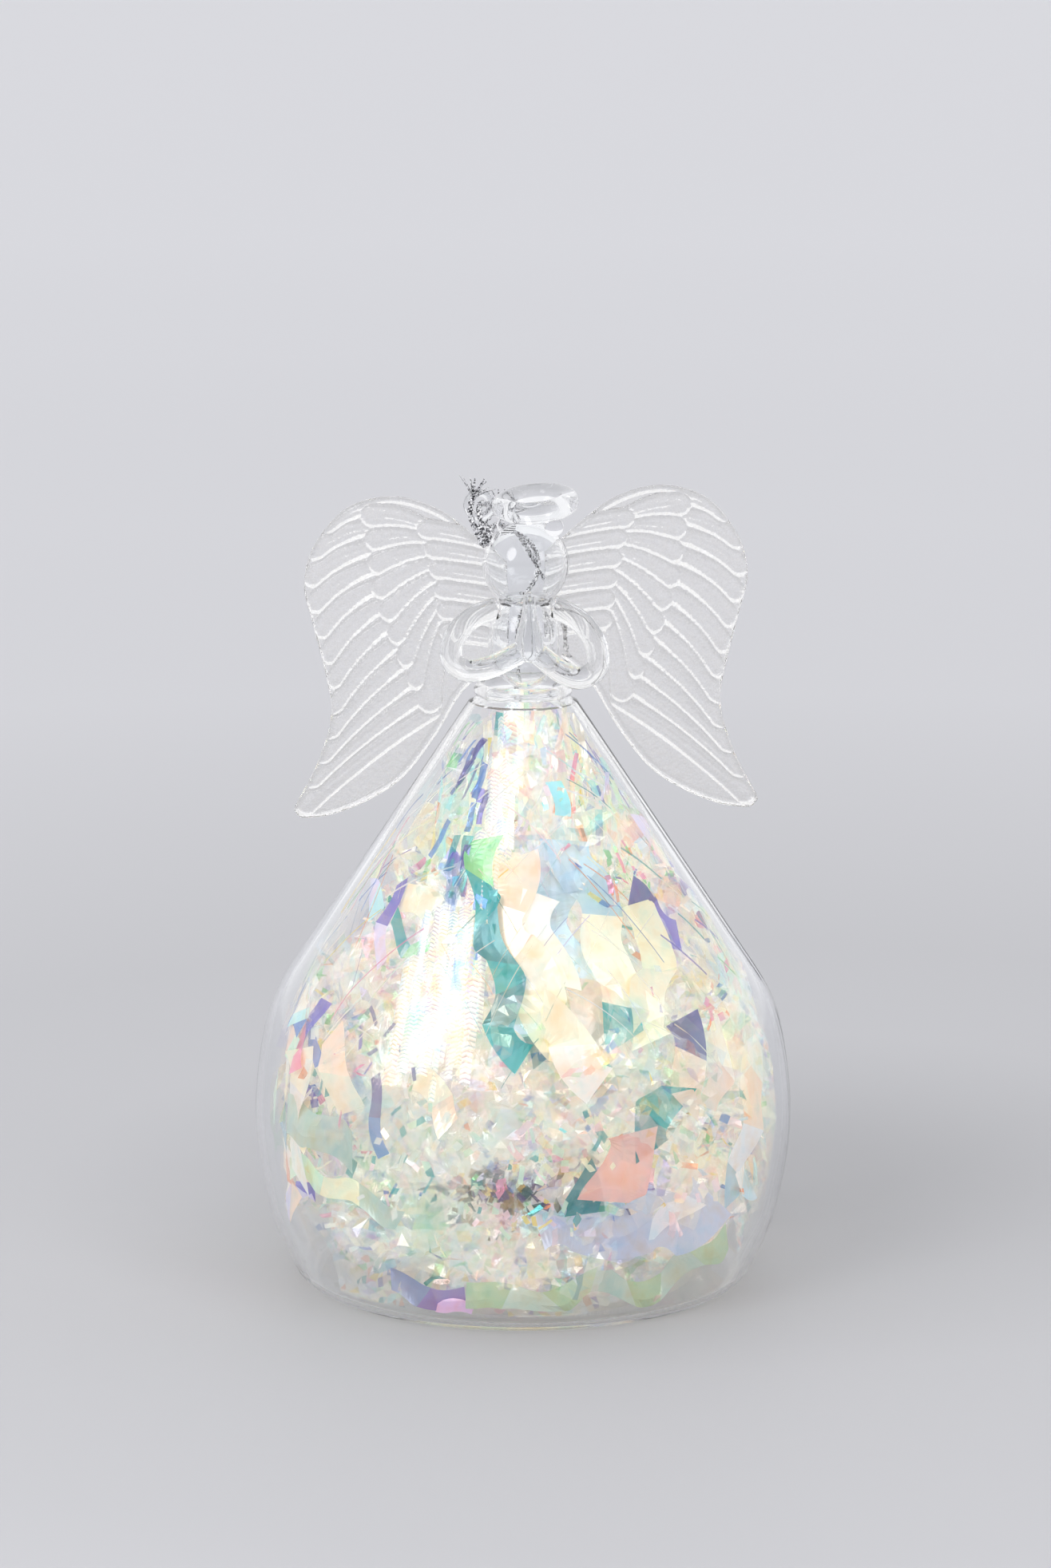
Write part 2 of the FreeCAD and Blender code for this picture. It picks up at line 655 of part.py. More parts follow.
def make_film_and_wires(light_unit):
    pieces = {}
    wire, path, radii = tube(WIRE_ROUTE, WIRE_R)
    report_tube("light_wire", wire, path, radii, WIRE_R)
    beads = light_beads(path)
    pieces["light_wire"] = wire.cut(light_unit["wire_gland"])
    pieces["led_beads"] = Part.makeCompound([bead.cut(wire) for bead in beads])
    past_the_end = vec(WIRE_ROUTE[-1]) + (vec(WIRE_ROUTE[-1]) - vec(WIRE_ROUTE[-2])) * 0.5
    channel = tube(WIRE_ROUTE[:-1] + [tuple(past_the_end)], BEAD_R + FILM_TO_BEAD)[0]
    plug_space = cylinder(NECK_BORE_R + GLASS_WALL + FILM_GAP, 0, NECK_TOP_Z + 3.0)
    tube_space = cylinder(TUBE_R + 0.8, 0, TUBE_TOP_Z + 0.8, (0.0, TUBE_Y))
    obstacles = (plug_space, tube_space, channel)
    for name, bottom, top in (("film_heap", 3.2, 42.0), ("film_drape", 42.3, 72.0),
                              ("film_column", 72.3, 94.5)):
        pieces[name] = film_part(bottom, top, obstacles)
    return pieces


def make_cord():
    pieces = {}
    knot = egg(KNOT_CENTRE, 1.3, 1.8)
    cord, path, radii = tube(CORD_ROUTE, CORD_R)
    report_tube("hanging_cord", cord, path, radii, CORD_R)
    pieces["cord_knot"] = knot
    pieces["hanging_cord"] = cord.cut(knot)
    pieces["cord_tails"] = Part.makeCompound([tail.cut(knot) for tail in cord_tails()])
    return pieces


def main():
    os.makedirs("parts", exist_ok=True)
    light_unit = make_light_unit()
    pieces = make_glass()
    pieces.update(light_unit)
    pieces.update(make_film_and_wires(light_unit))
    pieces.update(make_cord())
    for name, shape in pieces.items():
        save(name, shape)


main()
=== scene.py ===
import random
from itertools import accumulate
from math import cos, hypot, pi, radians, sin, sqrt

import bmesh
import bpy
import numpy as np
from mathutils import Matrix, Vector


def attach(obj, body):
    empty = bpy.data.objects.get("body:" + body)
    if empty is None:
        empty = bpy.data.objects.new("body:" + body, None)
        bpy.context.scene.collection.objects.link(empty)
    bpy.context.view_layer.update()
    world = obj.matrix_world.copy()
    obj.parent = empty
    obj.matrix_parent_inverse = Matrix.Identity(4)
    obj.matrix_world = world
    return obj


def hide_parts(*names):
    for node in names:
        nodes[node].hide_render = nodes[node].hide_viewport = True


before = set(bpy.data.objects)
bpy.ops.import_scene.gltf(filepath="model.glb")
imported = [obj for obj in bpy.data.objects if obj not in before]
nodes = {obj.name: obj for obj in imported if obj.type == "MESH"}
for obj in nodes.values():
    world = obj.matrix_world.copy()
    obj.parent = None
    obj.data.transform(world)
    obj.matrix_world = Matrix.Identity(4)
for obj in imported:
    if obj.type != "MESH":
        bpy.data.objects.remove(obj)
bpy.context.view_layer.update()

MM = 0.001                      # the lists below are in millimetres


# ---- camera -------------------------------------------------------------------------------
CAMERA_PLACE = (0.4, -724.0, 211.4)
CAMERA_TILT_DEG = 79.9
LENS = 102.8                    # for a picture height of 36 mm


def make_camera():
    data = bpy.data.cameras.new("camera")
    data.sensor_fit = "VERTICAL"
    data.sensor_height = 36.0
    data.lens = LENS
    data.clip_start = 0.01
    data.clip_end = 200.0
    camera = bpy.data.objects.new("camera", data)
    camera.location = Vector(CAMERA_PLACE) * MM
    camera.rotation_euler = (radians(CAMERA_TILT_DEG), 0.0, 0.0)
    bpy.context.scene.collection.objects.link(camera)
    bpy.context.scene.camera = camera


make_camera()


# ---- mesh helpers -------------------------------------------------------------------------
PLIES = 2
LINE_STEP = 0.2                 # between the points along a cord


def link(name, mesh, material):
    piece = bpy.data.objects.new(name, mesh)
    mesh.materials.append(material)
    bpy.context.scene.collection.objects.link(piece)
    return piece


def mesh_piece(name, verts, faces, material, smooth=True):
    """One object from points in millimetres."""
    mesh = bpy.data.meshes.new(name)
    mesh.from_pydata([tuple(c * MM for c in v) for v in verts], [], faces)
    mesh.validate()
    mesh.polygons.foreach_set("use_smooth", [smooth] * len(mesh.polygons))
    return link(name, mesh, material)


def settle(piece, slot, *replaced):
    """Every piece made here rides the figurine; the moving parts show as they are in CAD."""
    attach(piece, "figurine")
    if replaced:
        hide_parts(*replaced)


def table_value(table, at):
    """Value of a short table of (place, value) pairs, in line between them."""
    return float(np.interp(at, [row[0] for row in table], [row[1] for row in table]))


def round_place(angle, away, z):
    """Point at an angle round the figurine from its front."""
    return Vector((away * sin(angle), -away * cos(angle), z))


def route_spline(name, route):
    """Points along the smooth NURBS spline that has the route as its control points."""
    data = bpy.data.curves.new(name, "CURVE")
    data.dimensions = "3D"
    spline = data.splines.new("NURBS")
    spline.points.add(len(route) - 1)
    for point, place in zip(spline.points, route):
        point.co = (place[0] * MM, place[1] * MM, place[2] * MM, 1.0)
    spline.order_u = 3
    spline.use_endpoint_u = True
    spline.resolution_u = 24
    holder = bpy.data.objects.new(name, data)
    line = bpy.data.meshes.new_from_object(holder)
    points = [vertex.co / MM for vertex in line.vertices]
    bpy.data.objects.remove(holder)
    bpy.data.meshes.remove(line)
    bpy.data.curves.remove(data)
    return points


def distances(points):
    """How far along the line each of its points lies."""
    return [0.0, *accumulate((after - before).length for before, after in zip(points, points[1:]))]


def spaced(points, step):
    """The same line with its points evenly spaced."""
    walked = distances(points)
    marks = np.linspace(0, walked[-1], max(2, round(walked[-1] / step) + 1))
    columns = [np.interp(marks, walked, [p[axis] for p in points]) for axis in range(3)]
    return [Vector(row) for row in zip(*columns)]


def side_vectors(points, closed=False):
    """Two vectors square to the line at each point, carried along it without twist."""
    befores = (points[-1:] if closed else points[:1]) + points[:-1]
    afters = points[1:] + (points[:1] if closed else points[-1:])
    tangents = [(after - before).normalized() for before, after in zip(befores, afters)]
    side = tangents[0].orthogonal().normalized()
    sides = []
    for tangent in tangents:
        side = (side - tangent * side.dot(tangent)).normalized()
        sides.append((side.copy(), tangent.cross(side)))
    return sides


def add_rings(verts, faces, rings, closed=False):
    """Skin over rings of points, with a cap on each end unless it closes on itself."""
    base, count, corners = len(verts), len(rings), len(rings[0])
    for ring in rings:
        verts.extend(ring)
    for index in range(count if closed else count - 1):
        row = base + index * corners
        following = base + (index + 1) % count * corners
        for corner in range(corners):
            right = (corner + 1) % corners
            faces.append((row + corner, row + right, following + right, following + corner))
    if not closed:
        last = base + (count - 1) * corners
        faces.append(tuple(base + corner for corner in reversed(range(corners))))
        faces.append(tuple(last + corner for corner in range(corners)))


def add_tube(verts, faces, centres, sides, radii, corners=8, closed=False):
    turns = [2 * pi * corner / corners for corner in range(corners)]
    rings = [[centre + (u * cos(turn) + v * sin(turn)) * radius for turn in turns]
             for centre, (u, v), radius in zip(centres, sides, radii)]
    add_rings(verts, faces, rings, closed)


def add_yarn(verts, faces, points, ply_radius, lay_radius, turn, corners=7, closed=False):
    """Two plies twisted round each other along a line."""
    walked = distances(points)
    if closed:
        turn = walked[-1] / max(1, round(walked[-1] / turn))
    for ply in range(PLIES):
        centres = []
        for point, (u, v), away in zip(points, side_vectors(points, closed), walked):
            angle = 2 * pi * (away / turn + ply / PLIES)
            centres.append(point + (u * cos(angle) + v * sin(angle)) * lay_radius)
        add_tube(verts, faces, centres, side_vectors(centres, closed),
                 [ply_radius] * len(centres), corners, closed)


# ---- material helpers ---------------------------------------------------------------------
WHITE = (1.0, 1.0, 1.0)
EVEN = (1.0, 1.0, 1.0)          # stretch of a grain that is the same every way


def linear(colour):
    """Linear colour from the everyday one, with full alpha."""
    return (*(c / 12.92 if c <= 0.04045 else ((c + 0.055) / 1.055) ** 2.4 for c in colour), 1.0)


def fill(tree, node, inputs):
    """Gives each input its value, or links it to the output given for it."""
    for name, value in inputs.items():
        if isinstance(value, bpy.types.NodeSocket):
            tree.links.new(value, node.inputs[name])
        else:
            node.inputs[name].default_value = value


def add_node(tree, kind, inputs, **settings):
    node = tree.nodes.new("ShaderNode" + kind)
    for name, value in settings.items():
        setattr(node, name, value)
    fill(tree, node, inputs)
    return node.outputs


def new_material(name):
    material = bpy.data.materials.new(name)
    material.use_nodes = True
    tree = material.node_tree
    return material, tree, tree.nodes["Principled BSDF"]


def add_noise(tree, scale, detail=4.0, roughness=0.55, stretch=EVEN):
    """Noise in object space; scale is in repeats per metre."""
    place = add_node(tree, "TexCoord", {})["Object"]
    mapped = add_node(tree, "Mapping", {"Vector": place, "Scale": stretch})["Vector"]
    return add_node(tree, "TexNoise", {"Vector": mapped, "Scale": scale, "Detail": detail,
                                       "Roughness": roughness})["Fac"]


def add_ramp(tree, source, stops):
    ramp = tree.nodes.new("ShaderNodeValToRGB")
    elements = ramp.color_ramp.elements
    while len(elements) < len(stops):
        elements.new(0.5)
    for element, (place, colour) in zip(elements, stops):
        element.position = place
        element.color = linear(colour)
    fill(tree, ramp, {"Fac": source})
    return ramp.outputs["Color"]


def add_bump(tree, shader, height, strength, depth_mm):
    bump = add_node(tree, "Bump", {"Height": height, "Strength": strength,
                                   "Distance": depth_mm * MM})
    fill(tree, shader, {"Normal": bump["Normal"]})


def plain_solid(name, dark, light, roughness, grain, depth_mm, metallic=0.0, stretch=EVEN):
    """Moulded, painted or bare metal surface: two close colours and a fine grain."""
    material, tree, shader = new_material(name)
    noise = add_noise(tree, grain, stretch=stretch)
    colour = add_ramp(tree, noise, [(0.3, dark), (0.7, light)])
    fill(tree, shader, {"Base Color": colour, "Roughness": roughness, "Metallic": metallic})
    add_bump(tree, shader, noise, 0.4, depth_mm)
    return material


def clear_glass(name, tint, wave_scale, wave_mm, ior=1.5, frost=0.0):
    """Clear glass that lets light through to what stands inside and behind it."""
    material, tree, shader = new_material(name)
    waves = add_noise(tree, wave_scale, detail=2.0)
    fill(tree, shader, {"Base Color": add_ramp(tree, waves, [(0.3, tint), (0.7, WHITE)]),
                        "Roughness": 0.0, "IOR": ior, "Transmission Weight": 1.0})
    add_bump(tree, shader, waves, 0.5, wave_mm)
    if frost:
        specks = add_noise(tree, 2200.0, detail=2.0, roughness=0.7)
        clear = add_node(tree, "MapRange", {"Value": specks, "From Min": 0.32, "From Max": 0.88,
                                            "To Min": 1.0, "To Max": 1.0 - frost})
        fill(tree, shader, {"Transmission Weight": clear["Result"]})
    path = add_node(tree, "LightPath", {})
    either = add_node(tree, "Math", {0: path["Is Shadow Ray"], 1: path["Is Diffuse Ray"]},
                      operation="MAXIMUM")
    through = add_node(tree, "BsdfTransparent", {"Color": (0.97, 0.97, 0.97, 1.0)})
    mix = add_node(tree, "MixShader", {0: either["Value"], 1: shader.outputs["BSDF"],
                                       2: through["BSDF"]})
    fill(tree, tree.nodes["Material Output"], {"Surface": mix["Shader"]})
    return material


def film_material(name, alpha, roughness, crinkle, crinkle_mm, painted_glow, shine=0.45):
    """Iridescent film: each facet carries the colour that it flashes, and gives that colour out
    again as a painted glow, though the film is no lamp.
    """
    material, tree, shader = new_material(name)
    facet = add_node(tree, "Attribute", {}, attribute_name="film_colour")["Color"]
    drift = add_ramp(tree, add_noise(tree, 260.0, detail=3.0),
                     [(0.3, (0.88, 0.97, 1.0)), (0.5, WHITE), (0.7, (1.0, 0.93, 0.85))])
    colour = add_node(tree, "Mix", {"Factor": 0.8, "A": facet, "B": drift}, data_type="RGBA",
                      blend_type="MULTIPLY")["Result"]
    # Emission in the film's own colour is a painted glow that stands in for light falling on the
    # film.
    fill(tree, shader, {"Base Color": colour, "Emission Color": colour, "Emission Strength": painted_glow,
                        "Roughness": roughness, "Metallic": shine, "Specular IOR Level": 0.9,
                        "Coat Weight": shine, "Coat Roughness": 0.05, "Alpha": alpha})
    wrinkles = add_noise(tree, crinkle, detail=3.0, stretch=(1.0, 1.0, 0.6))
    add_bump(tree, shader, wrinkles, 0.7, crinkle_mm)
    return material


def yarn_material(name, dark, light):
    """Metallic yarn: small bright and dark flakes of foil."""
    material, tree, shader = new_material(name)
    flakes = add_noise(tree, 2600.0, detail=2.0, roughness=0.8)
    colour = add_ramp(tree, flakes, [(0.46, dark), (0.51, light), (0.6, WHITE)])
    fill(tree, shader, {"Base Color": colour, "Metallic": 0.35, "Roughness": 0.28})
    add_bump(tree, shader, flakes, 0.8, 0.08)
    return material


SKIRT_GLASS = clear_glass("skirt_glass_clear", (0.99, 0.995, 1.0), 40.0, 0.012, ior=1.24)
BULB_GLASS = clear_glass("bulb_glass_clear", (0.985, 0.99, 0.995), 90.0, 0.02, ior=1.42)
ROD_GLASS = clear_glass("rod_glass_clear", (0.95, 0.955, 0.96), 160.0, 0.04, ior=1.38)
FUSED_GLASS = clear_glass("fused_glass_clear", (0.99, 0.99, 0.995), 220.0, 0.03, ior=1.14)
WING_GLASS = clear_glass("pressed_glass_clear", (0.99, 0.985, 0.975), 1300.0, 0.2, ior=1.45,
                         frost=0.26)
RESIN = clear_glass("lamp_resin_clear", (0.98, 0.97, 0.9), 300.0, 0.03)
# The last number before shine is each film's painted glow. The pleats, which stand for the
# brightest lit film, glow most.
FRONT_FILM = film_material("film_front", 0.84, 0.26, 500.0, 0.05, 0.16, shine=0.2)
WALL_FILM = film_material("film_wall", 0.09, 0.14, 700.0, 0.2, 0.1)
SLIVER_FILM = film_material("film_sliver", 0.7, 0.16, 900.0, 0.06, 0.12)
RIBBON_FILM = film_material("film_ribbon", 0.32, 0.12, 900.0, 0.12, 0.18)
SHRED_FILM = film_material("film_shred", 0.74, 0.1, 1500.0, 0.08, 0.14)
CRUMPLE_FILM = film_material("film_crumple", 0.26, 0.08, 1800.0, 0.05, 0.14)
PLEAT_FILM = film_material("film_pleat", 0.72, 0.2, 1500.0, 0.1, 0.3)
SILVER_YARN = yarn_material("silver_yarn", (0.13, 0.13, 0.15), (0.93, 0.93, 0.95))
COPPER = plain_solid("enamelled_copper", (0.50, 0.28, 0.16), (0.78, 0.50, 0.30), 0.3, 900.0,
                     0.01, metallic=0.8)
LAMP = plain_solid("lamp_chip", (0.88, 0.80, 0.30), (0.98, 0.93, 0.55), 0.35, 2500.0, 0.01)

NODE_MATERIALS = [
    (SKIRT_GLASS, ("skirt_shell",)),
    (BULB_GLASS, ("head_globe", "torso_bulb")),
    (ROD_GLASS, ("waist_ring", "halo_ring", "hanging_eye", "left_arm", "right_arm", "left_hand",
                 "right_hand")),
    (FUSED_GLASS, ("neck_collar", "halo_seal_left", "halo_seal_right", "wing_seal_left",
                   "wing_seal_right")),
    (WING_GLASS, ("left_wing", "right_wing")),
    (RIBBON_FILM, ("film_heap", "film_drape", "film_column")),
    (RESIN, ("led_beads",)),
    (SILVER_YARN, ("hanging_cord", "cord_knot", "cord_tails")),
    (COPPER, ("light_wire",)),
    (plain_solid("white_plastic_satin", (0.84, 0.84, 0.82), (0.92, 0.92, 0.90), 0.42, 1200.0, 0.02),
     ("plug_housing", "plug_cover", "battery_lid")),
    (plain_solid("silicone_white", (0.80, 0.80, 0.79), (0.88, 0.88, 0.87), 0.6, 700.0, 0.03),
     ("plug_gasket",)),
    (plain_solid("set_glue", (0.84, 0.82, 0.72), (0.93, 0.91, 0.84), 0.2, 500.0, 0.08),
     ("wire_gland",)),
    (plain_solid("contact_brass", (0.66, 0.54, 0.30), (0.84, 0.72, 0.46), 0.32, 1500.0, 0.01,
                 metallic=1.0, stretch=(1.0, 8.0, 8.0)), ("lid_contact", "upper_contact")),
    (plain_solid("cell_steel_brushed", (0.62, 0.62, 0.60), (0.84, 0.84, 0.82), 0.26, 1500.0, 0.01,
                 metallic=1.0, stretch=(8.0, 8.0, 1.0)),
     ("button_cell_1", "button_cell_2", "button_cell_3")),
    (plain_solid("board_green", (0.05, 0.26, 0.13), (0.12, 0.42, 0.22), 0.35, 600.0, 0.02),
     ("circuit_board",)),
    (plain_solid("chip_black", (0.07, 0.07, 0.07), (0.14, 0.14, 0.14), 0.5, 1800.0, 0.01),
     ("resistor",)),
    (plain_solid("tinplate", (0.56, 0.56, 0.57), (0.80, 0.80, 0.81), 0.3, 900.0, 0.02,
                 metallic=1.0, stretch=(1.0, 6.0, 1.0)), ("switch_case",)),
    (plain_solid("black_plastic_satin", (0.03, 0.03, 0.03), (0.07, 0.07, 0.07), 0.45, 1500.0, 0.02),
     ("switch_slider",)),
]
for material, names in NODE_MATERIALS:
    for name in names:
        nodes[name].data.materials.clear()
        nodes[name].data.materials.append(material)


# ---- cord, knot and tails -----------------------------------------------------------------
CORD_ROUTE = [
    (-6.5, -2.2, 124.8), (-7.1, -1.6, 127.0), (-7.1, 1.3, 128.7), (-6.2, 4.6, 128.2),
    (-4.1, 8.2, 127.0), (-1.5, 11.2, 124.4), (0.5, 12.2, 120.6), (2.5, 13.0, 117.0),
    (4.8, 12.6, 113.4), (6.5, 12.3, 109.4), (6.9, 12.4, 104.0), (7.2, 13.0, 98.4),
    (7.6, 14.8, 92.4), (8.2, 18.2, 86.0), (8.2, 21.6, 79.6), (6.9, 24.6, 74.9),
    (4.4, 26.2, 72.5), (1.2, 26.2, 72.7), (-1.2, 24.8, 75.5), (-2.2, 22.2, 80.0),
    (-2.0, 18.8, 85.8), (-1.6, 15.4, 91.6), (-1.4, 13.3, 98.0), (-1.2, 12.4, 104.2),
    (-0.9, 12.0, 109.4), (1.8, 12.2, 113.0), (3.2, 11.6, 117.0), (2.0, 11.0, 120.9),
    (-0.6, 9.4, 123.8), (-3.4, 6.4, 124.9), (-5.2, 2.8, 124.5), (-6.2, -0.6, 123.9),
]
TAIL_ROUTES = [
    [(-7.5, -2.1, 124.3), (-8.7, -1.7, 126.8), (-8.4, -1.0, 129.4), (-7.5, -0.5, 131.3)],
    [(-7.0, -1.2, 124.5), (-7.1, 1.4, 124.4), (-5.6, 4.2, 126.0), (-3.9, 6.1, 127.9),
     (-2.8, 6.5, 130.1)],
]
PLY_RADIUS = 0.3
LAY_RADIUS = 0.22               # from the cord's middle to a ply's
CORD_TURN = 2.6                 # length of one turn of the plies
OPENED_FROM = 0.8               # share of a tail's length at which its foil strips open
KNOT_CENTRE = (-6.3, -2.2, 123.9)
KNOT_SCALE = 0.42
KNOT_STEPS = 120
KNOT_PLY_RADIUS, KNOT_LAY_RADIUS, KNOT_TURN = 0.34, 0.26, 1.6
FOIL_STRIPS = 13                # at each frayed end
FOIL_REACHES = (4.4, 3.0)       # length of the longest strip at each end


def cord_yarn():
    """The cord's yarn, and the line that it follows."""
    even = spaced(route_spline("cord_line", CORD_ROUTE), LINE_STEP)
    verts, faces = [], []
    add_yarn(verts, faces, even, PLY_RADIUS, LAY_RADIUS, CORD_TURN)
    return mesh_piece("hanging_cord_yarn", verts, faces, SILVER_YARN), even


def knot_yarn():
    """The cord's two ends drawn into one tight knot."""
    points = []
    for index in range(KNOT_STEPS):
        t = 2 * pi * index / KNOT_STEPS
        curl = Vector((sin(t) + 2 * sin(2 * t), -1.5 * sin(3 * t),
                       1.25 * (cos(t) - 2 * cos(2 * t))))
        points.append(Vector(KNOT_CENTRE) + curl * KNOT_SCALE)
    verts, faces = [], []
    add_yarn(verts, faces, points, KNOT_PLY_RADIUS, KNOT_LAY_RADIUS, KNOT_TURN, closed=True)
    return mesh_piece("cord_knot_yarn", verts, faces, SILVER_YARN)


def frayed_tails():
    """Cut ends of the cord, opened into flat strips of foil that splay and bend."""
    draw = random.Random(11)
    verts, faces = [], []
    for route, reach in zip(TAIL_ROUTES, FOIL_REACHES):
        even = spaced(route_spline("tail_line", route), LINE_STEP)
        even = even[:round(len(even) * OPENED_FROM)]
        add_yarn(verts, faces, even, PLY_RADIUS, LAY_RADIUS, CORD_TURN)
        way = (even[-1] - even[-4]).normalized()
        root = even[-1] - way * 0.3
        u, v = side_vectors(even)[-1]
        for number in range(FOIL_STRIPS):
            angle = 2 * pi * (number + draw.random() * 0.6) / FOIL_STRIPS
            outward = u * cos(angle) + v * sin(angle)
            spread = draw.uniform(0.1, 1.3)
            bend = draw.uniform(-0.5, 0.5)
            length = reach * draw.uniform(0.6, 1.0)
            flat = outward.cross(way).normalized()
            flat = (flat + outward * draw.uniform(-0.8, 0.8)).normalized()
            half = draw.uniform(0.22, 0.38)
            thick = way.cross(flat).normalized() * 0.02
            rings = []
            for share in (0.0, 0.2, 0.4, 0.6, 0.8, 1.0):
                at = root + way * (length * share * (1 - 0.25 * spread))
                at = at + outward * (0.25 + length * spread * share ** 1.4 * 0.75)
                at = at + flat * (bend * share * share)
                width = half * (1 - 0.6 * share ** 2)
                rings.append([at + flat * (width * across) + thick * lift
                              for across, lift in ((-1, -1), (1, -1), (1, 1), (-1, 1))])
            add_rings(verts, faces, rings)
    return mesh_piece("cord_tails_frayed", verts, faces, SILVER_YARN, smooth=False)


cord, cord_path = cord_yarn()
knot = knot_yarn()
tails = frayed_tails()
for piece, node in ((cord, "hanging_cord"), (knot, "cord_knot"), (tails, "cord_tails")):
    settle(piece, "silver_cord", node)


# ---- stage --------------------------------------------------------------------------------
# Painted shadow on the floor: darker round a spot behind the figurine on its right, lighter farther
# off.
PAINTED_SHADOW_CENTRE = (0.03, 0.06, 0.0)
PAINTED_FLOOR_SHADOW = [                # metres from there, shade
    (0.0, 0.695), (0.04, 0.70), (0.075, 0.735), (0.115, 0.765), (0.2, 0.77), (0.3, 0.80),
    (0.56, 0.862), (1.0, 0.893), (1.85, 0.918), (3.0, 0.932),
]
FLOOR_RADIUS = 90.0
FLOOR_TINT = (0.997, 0.997, 1.014)
ROOM_COLOUR = (0.985, 0.987, 0.996)
ROOM_DIM, ROOM_BRIGHT = 0.47, 1.01      # on the camera's side and behind the figurine
LIGHT_AIM = (0.0, 0.0, 0.07)
BOUNCES = 28                    # enough for light to cross all the layers of glass


def make_floor():
    """Wide pale floor with a painted shadow: darker behind the figurine on its right, lighter
    farther off.
    """
    mesh = bpy.data.meshes.new("floor")
    grid = bmesh.new()
    bmesh.ops.create_circle(grid, cap_ends=True, segments=96, radius=FLOOR_RADIUS)
    grid.to_mesh(mesh)
    grid.free()
    material, tree, shader = new_material("floor_paper_painted_shadow")
    place = add_node(tree, "TexCoord", {})["Object"]
    away = add_node(tree, "VectorMath", {0: place, 1: PAINTED_SHADOW_CENTRE}, operation="DISTANCE")
    farthest = PAINTED_FLOOR_SHADOW[-1][0]
    reach = add_node(tree, "MapRange", {"Value": away["Value"], "From Max": farthest})
    # This ramp paints the shadow into the floor's colour.
    colour = add_ramp(tree, reach["Result"],
                      [(far / farthest, tuple(shade * part for part in FLOOR_TINT))
                       for far, shade in PAINTED_FLOOR_SHADOW])
    fill(tree, shader, {"Base Color": colour, "Roughness": 0.6, "Specular IOR Level": 0.2})
    link("floor", mesh, material)


def make_world():
    """Soft room light, brighter behind the figurine than on the camera's side."""
    world = bpy.data.worlds.new("room")
    world.use_nodes = True
    tree = world.node_tree
    place = add_node(tree, "TexCoord", {})["Generated"]
    axes = add_node(tree, "SeparateXYZ", {"Vector": place})
    spread = add_node(tree, "MapRange", {"Value": axes["Y"], "From Min": -0.9, "From Max": 0.5,
                                         "To Min": ROOM_DIM, "To Max": ROOM_BRIGHT},
                      interpolation_type="SMOOTHSTEP")
    fill(tree, tree.nodes["Background"], {"Color": linear(ROOM_COLOUR),
                                          "Strength": spread["Result"]})
    bpy.context.scene.world = world


def make_light(name, shape, size, azimuth_deg, elevation_deg, distance, radiance):
    """Soft box aimed at the figurine; azimuth 0 stands on the camera's side."""
    data = bpy.data.lights.new(name, "AREA")
    data.shape = shape
    data.size, data.size_y = size
    area = size[0] * size[1] * (pi / 4 if shape == "ELLIPSE" else 1.0)
    data.energy = pi * area * radiance
    light = bpy.data.objects.new(name, data)
    elevation = radians(elevation_deg)
    place = round_place(radians(azimuth_deg), cos(elevation), sin(elevation))
    light.location = Vector(LIGHT_AIM) + place * distance
    light.rotation_euler = place.to_track_quat("Z", "Y").to_euler()
    bpy.context.scene.collection.objects.link(light)


make_floor()
make_world()
make_light("soft_box_left", "ELLIPSE", (0.44, 0.64), -44.0, 33.0, 1.05, 4.6)
make_light("soft_box_right", "RECTANGLE", (0.36, 0.42), 48.0, 27.0, 1.15, 2.6)
make_light("soft_box_high", "RECTANGLE", (1.0, 0.44), 30.0, 56.0, 1.15, 1.5)
scene = bpy.context.scene
scene.view_settings.view_transform = "Standard"
scene.cycles.max_bounces = BOUNCES
scene.cycles.transmission_bounces = BOUNCES
scene.cycles.glossy_bounces = BOUNCES
scene.cycles.transparent_max_bounces = 40


# ---- wings --------------------------------------------------------------------------------
WING_TOP = [(3.2, 118.6), (8.6, 123.2), (14.2, 127.2), (21.7, 129.2), (29.4, 127.2),
            (34.9, 121.0), (36.7, 114.4), (35.2, 107.4), (33.2, 99.4), (32.3, 92.6),
            (34.6, 84.6), (38.4, 77.2), (38.6, 76.0)]
WING_BOTTOM = [(3.2, 102.6), (10.0, 97.0), (14.8, 89.2), (20.2, 82.2), (26.0, 78.2),
               (32.2, 75.6), (36.8, 74.9), (38.0, 75.2)]
WING_FRONT_Y = 7.4
WING_THICKNESS = 2.4
WING_SWEEP_DEG = 7.0
WING_SHIFTS = {"left": (0.0, 0.0, -0.5), "right": (0.9, 0.0, 1.4)}
WING_ROWS, WING_COLUMNS = 300, 150
EDGE_ROUND = 1.2
RELIEF = 1.15
BACK_RELIEF = 0.3               # share of the relief that shows on the back
WING_ROOT_X = 3.2

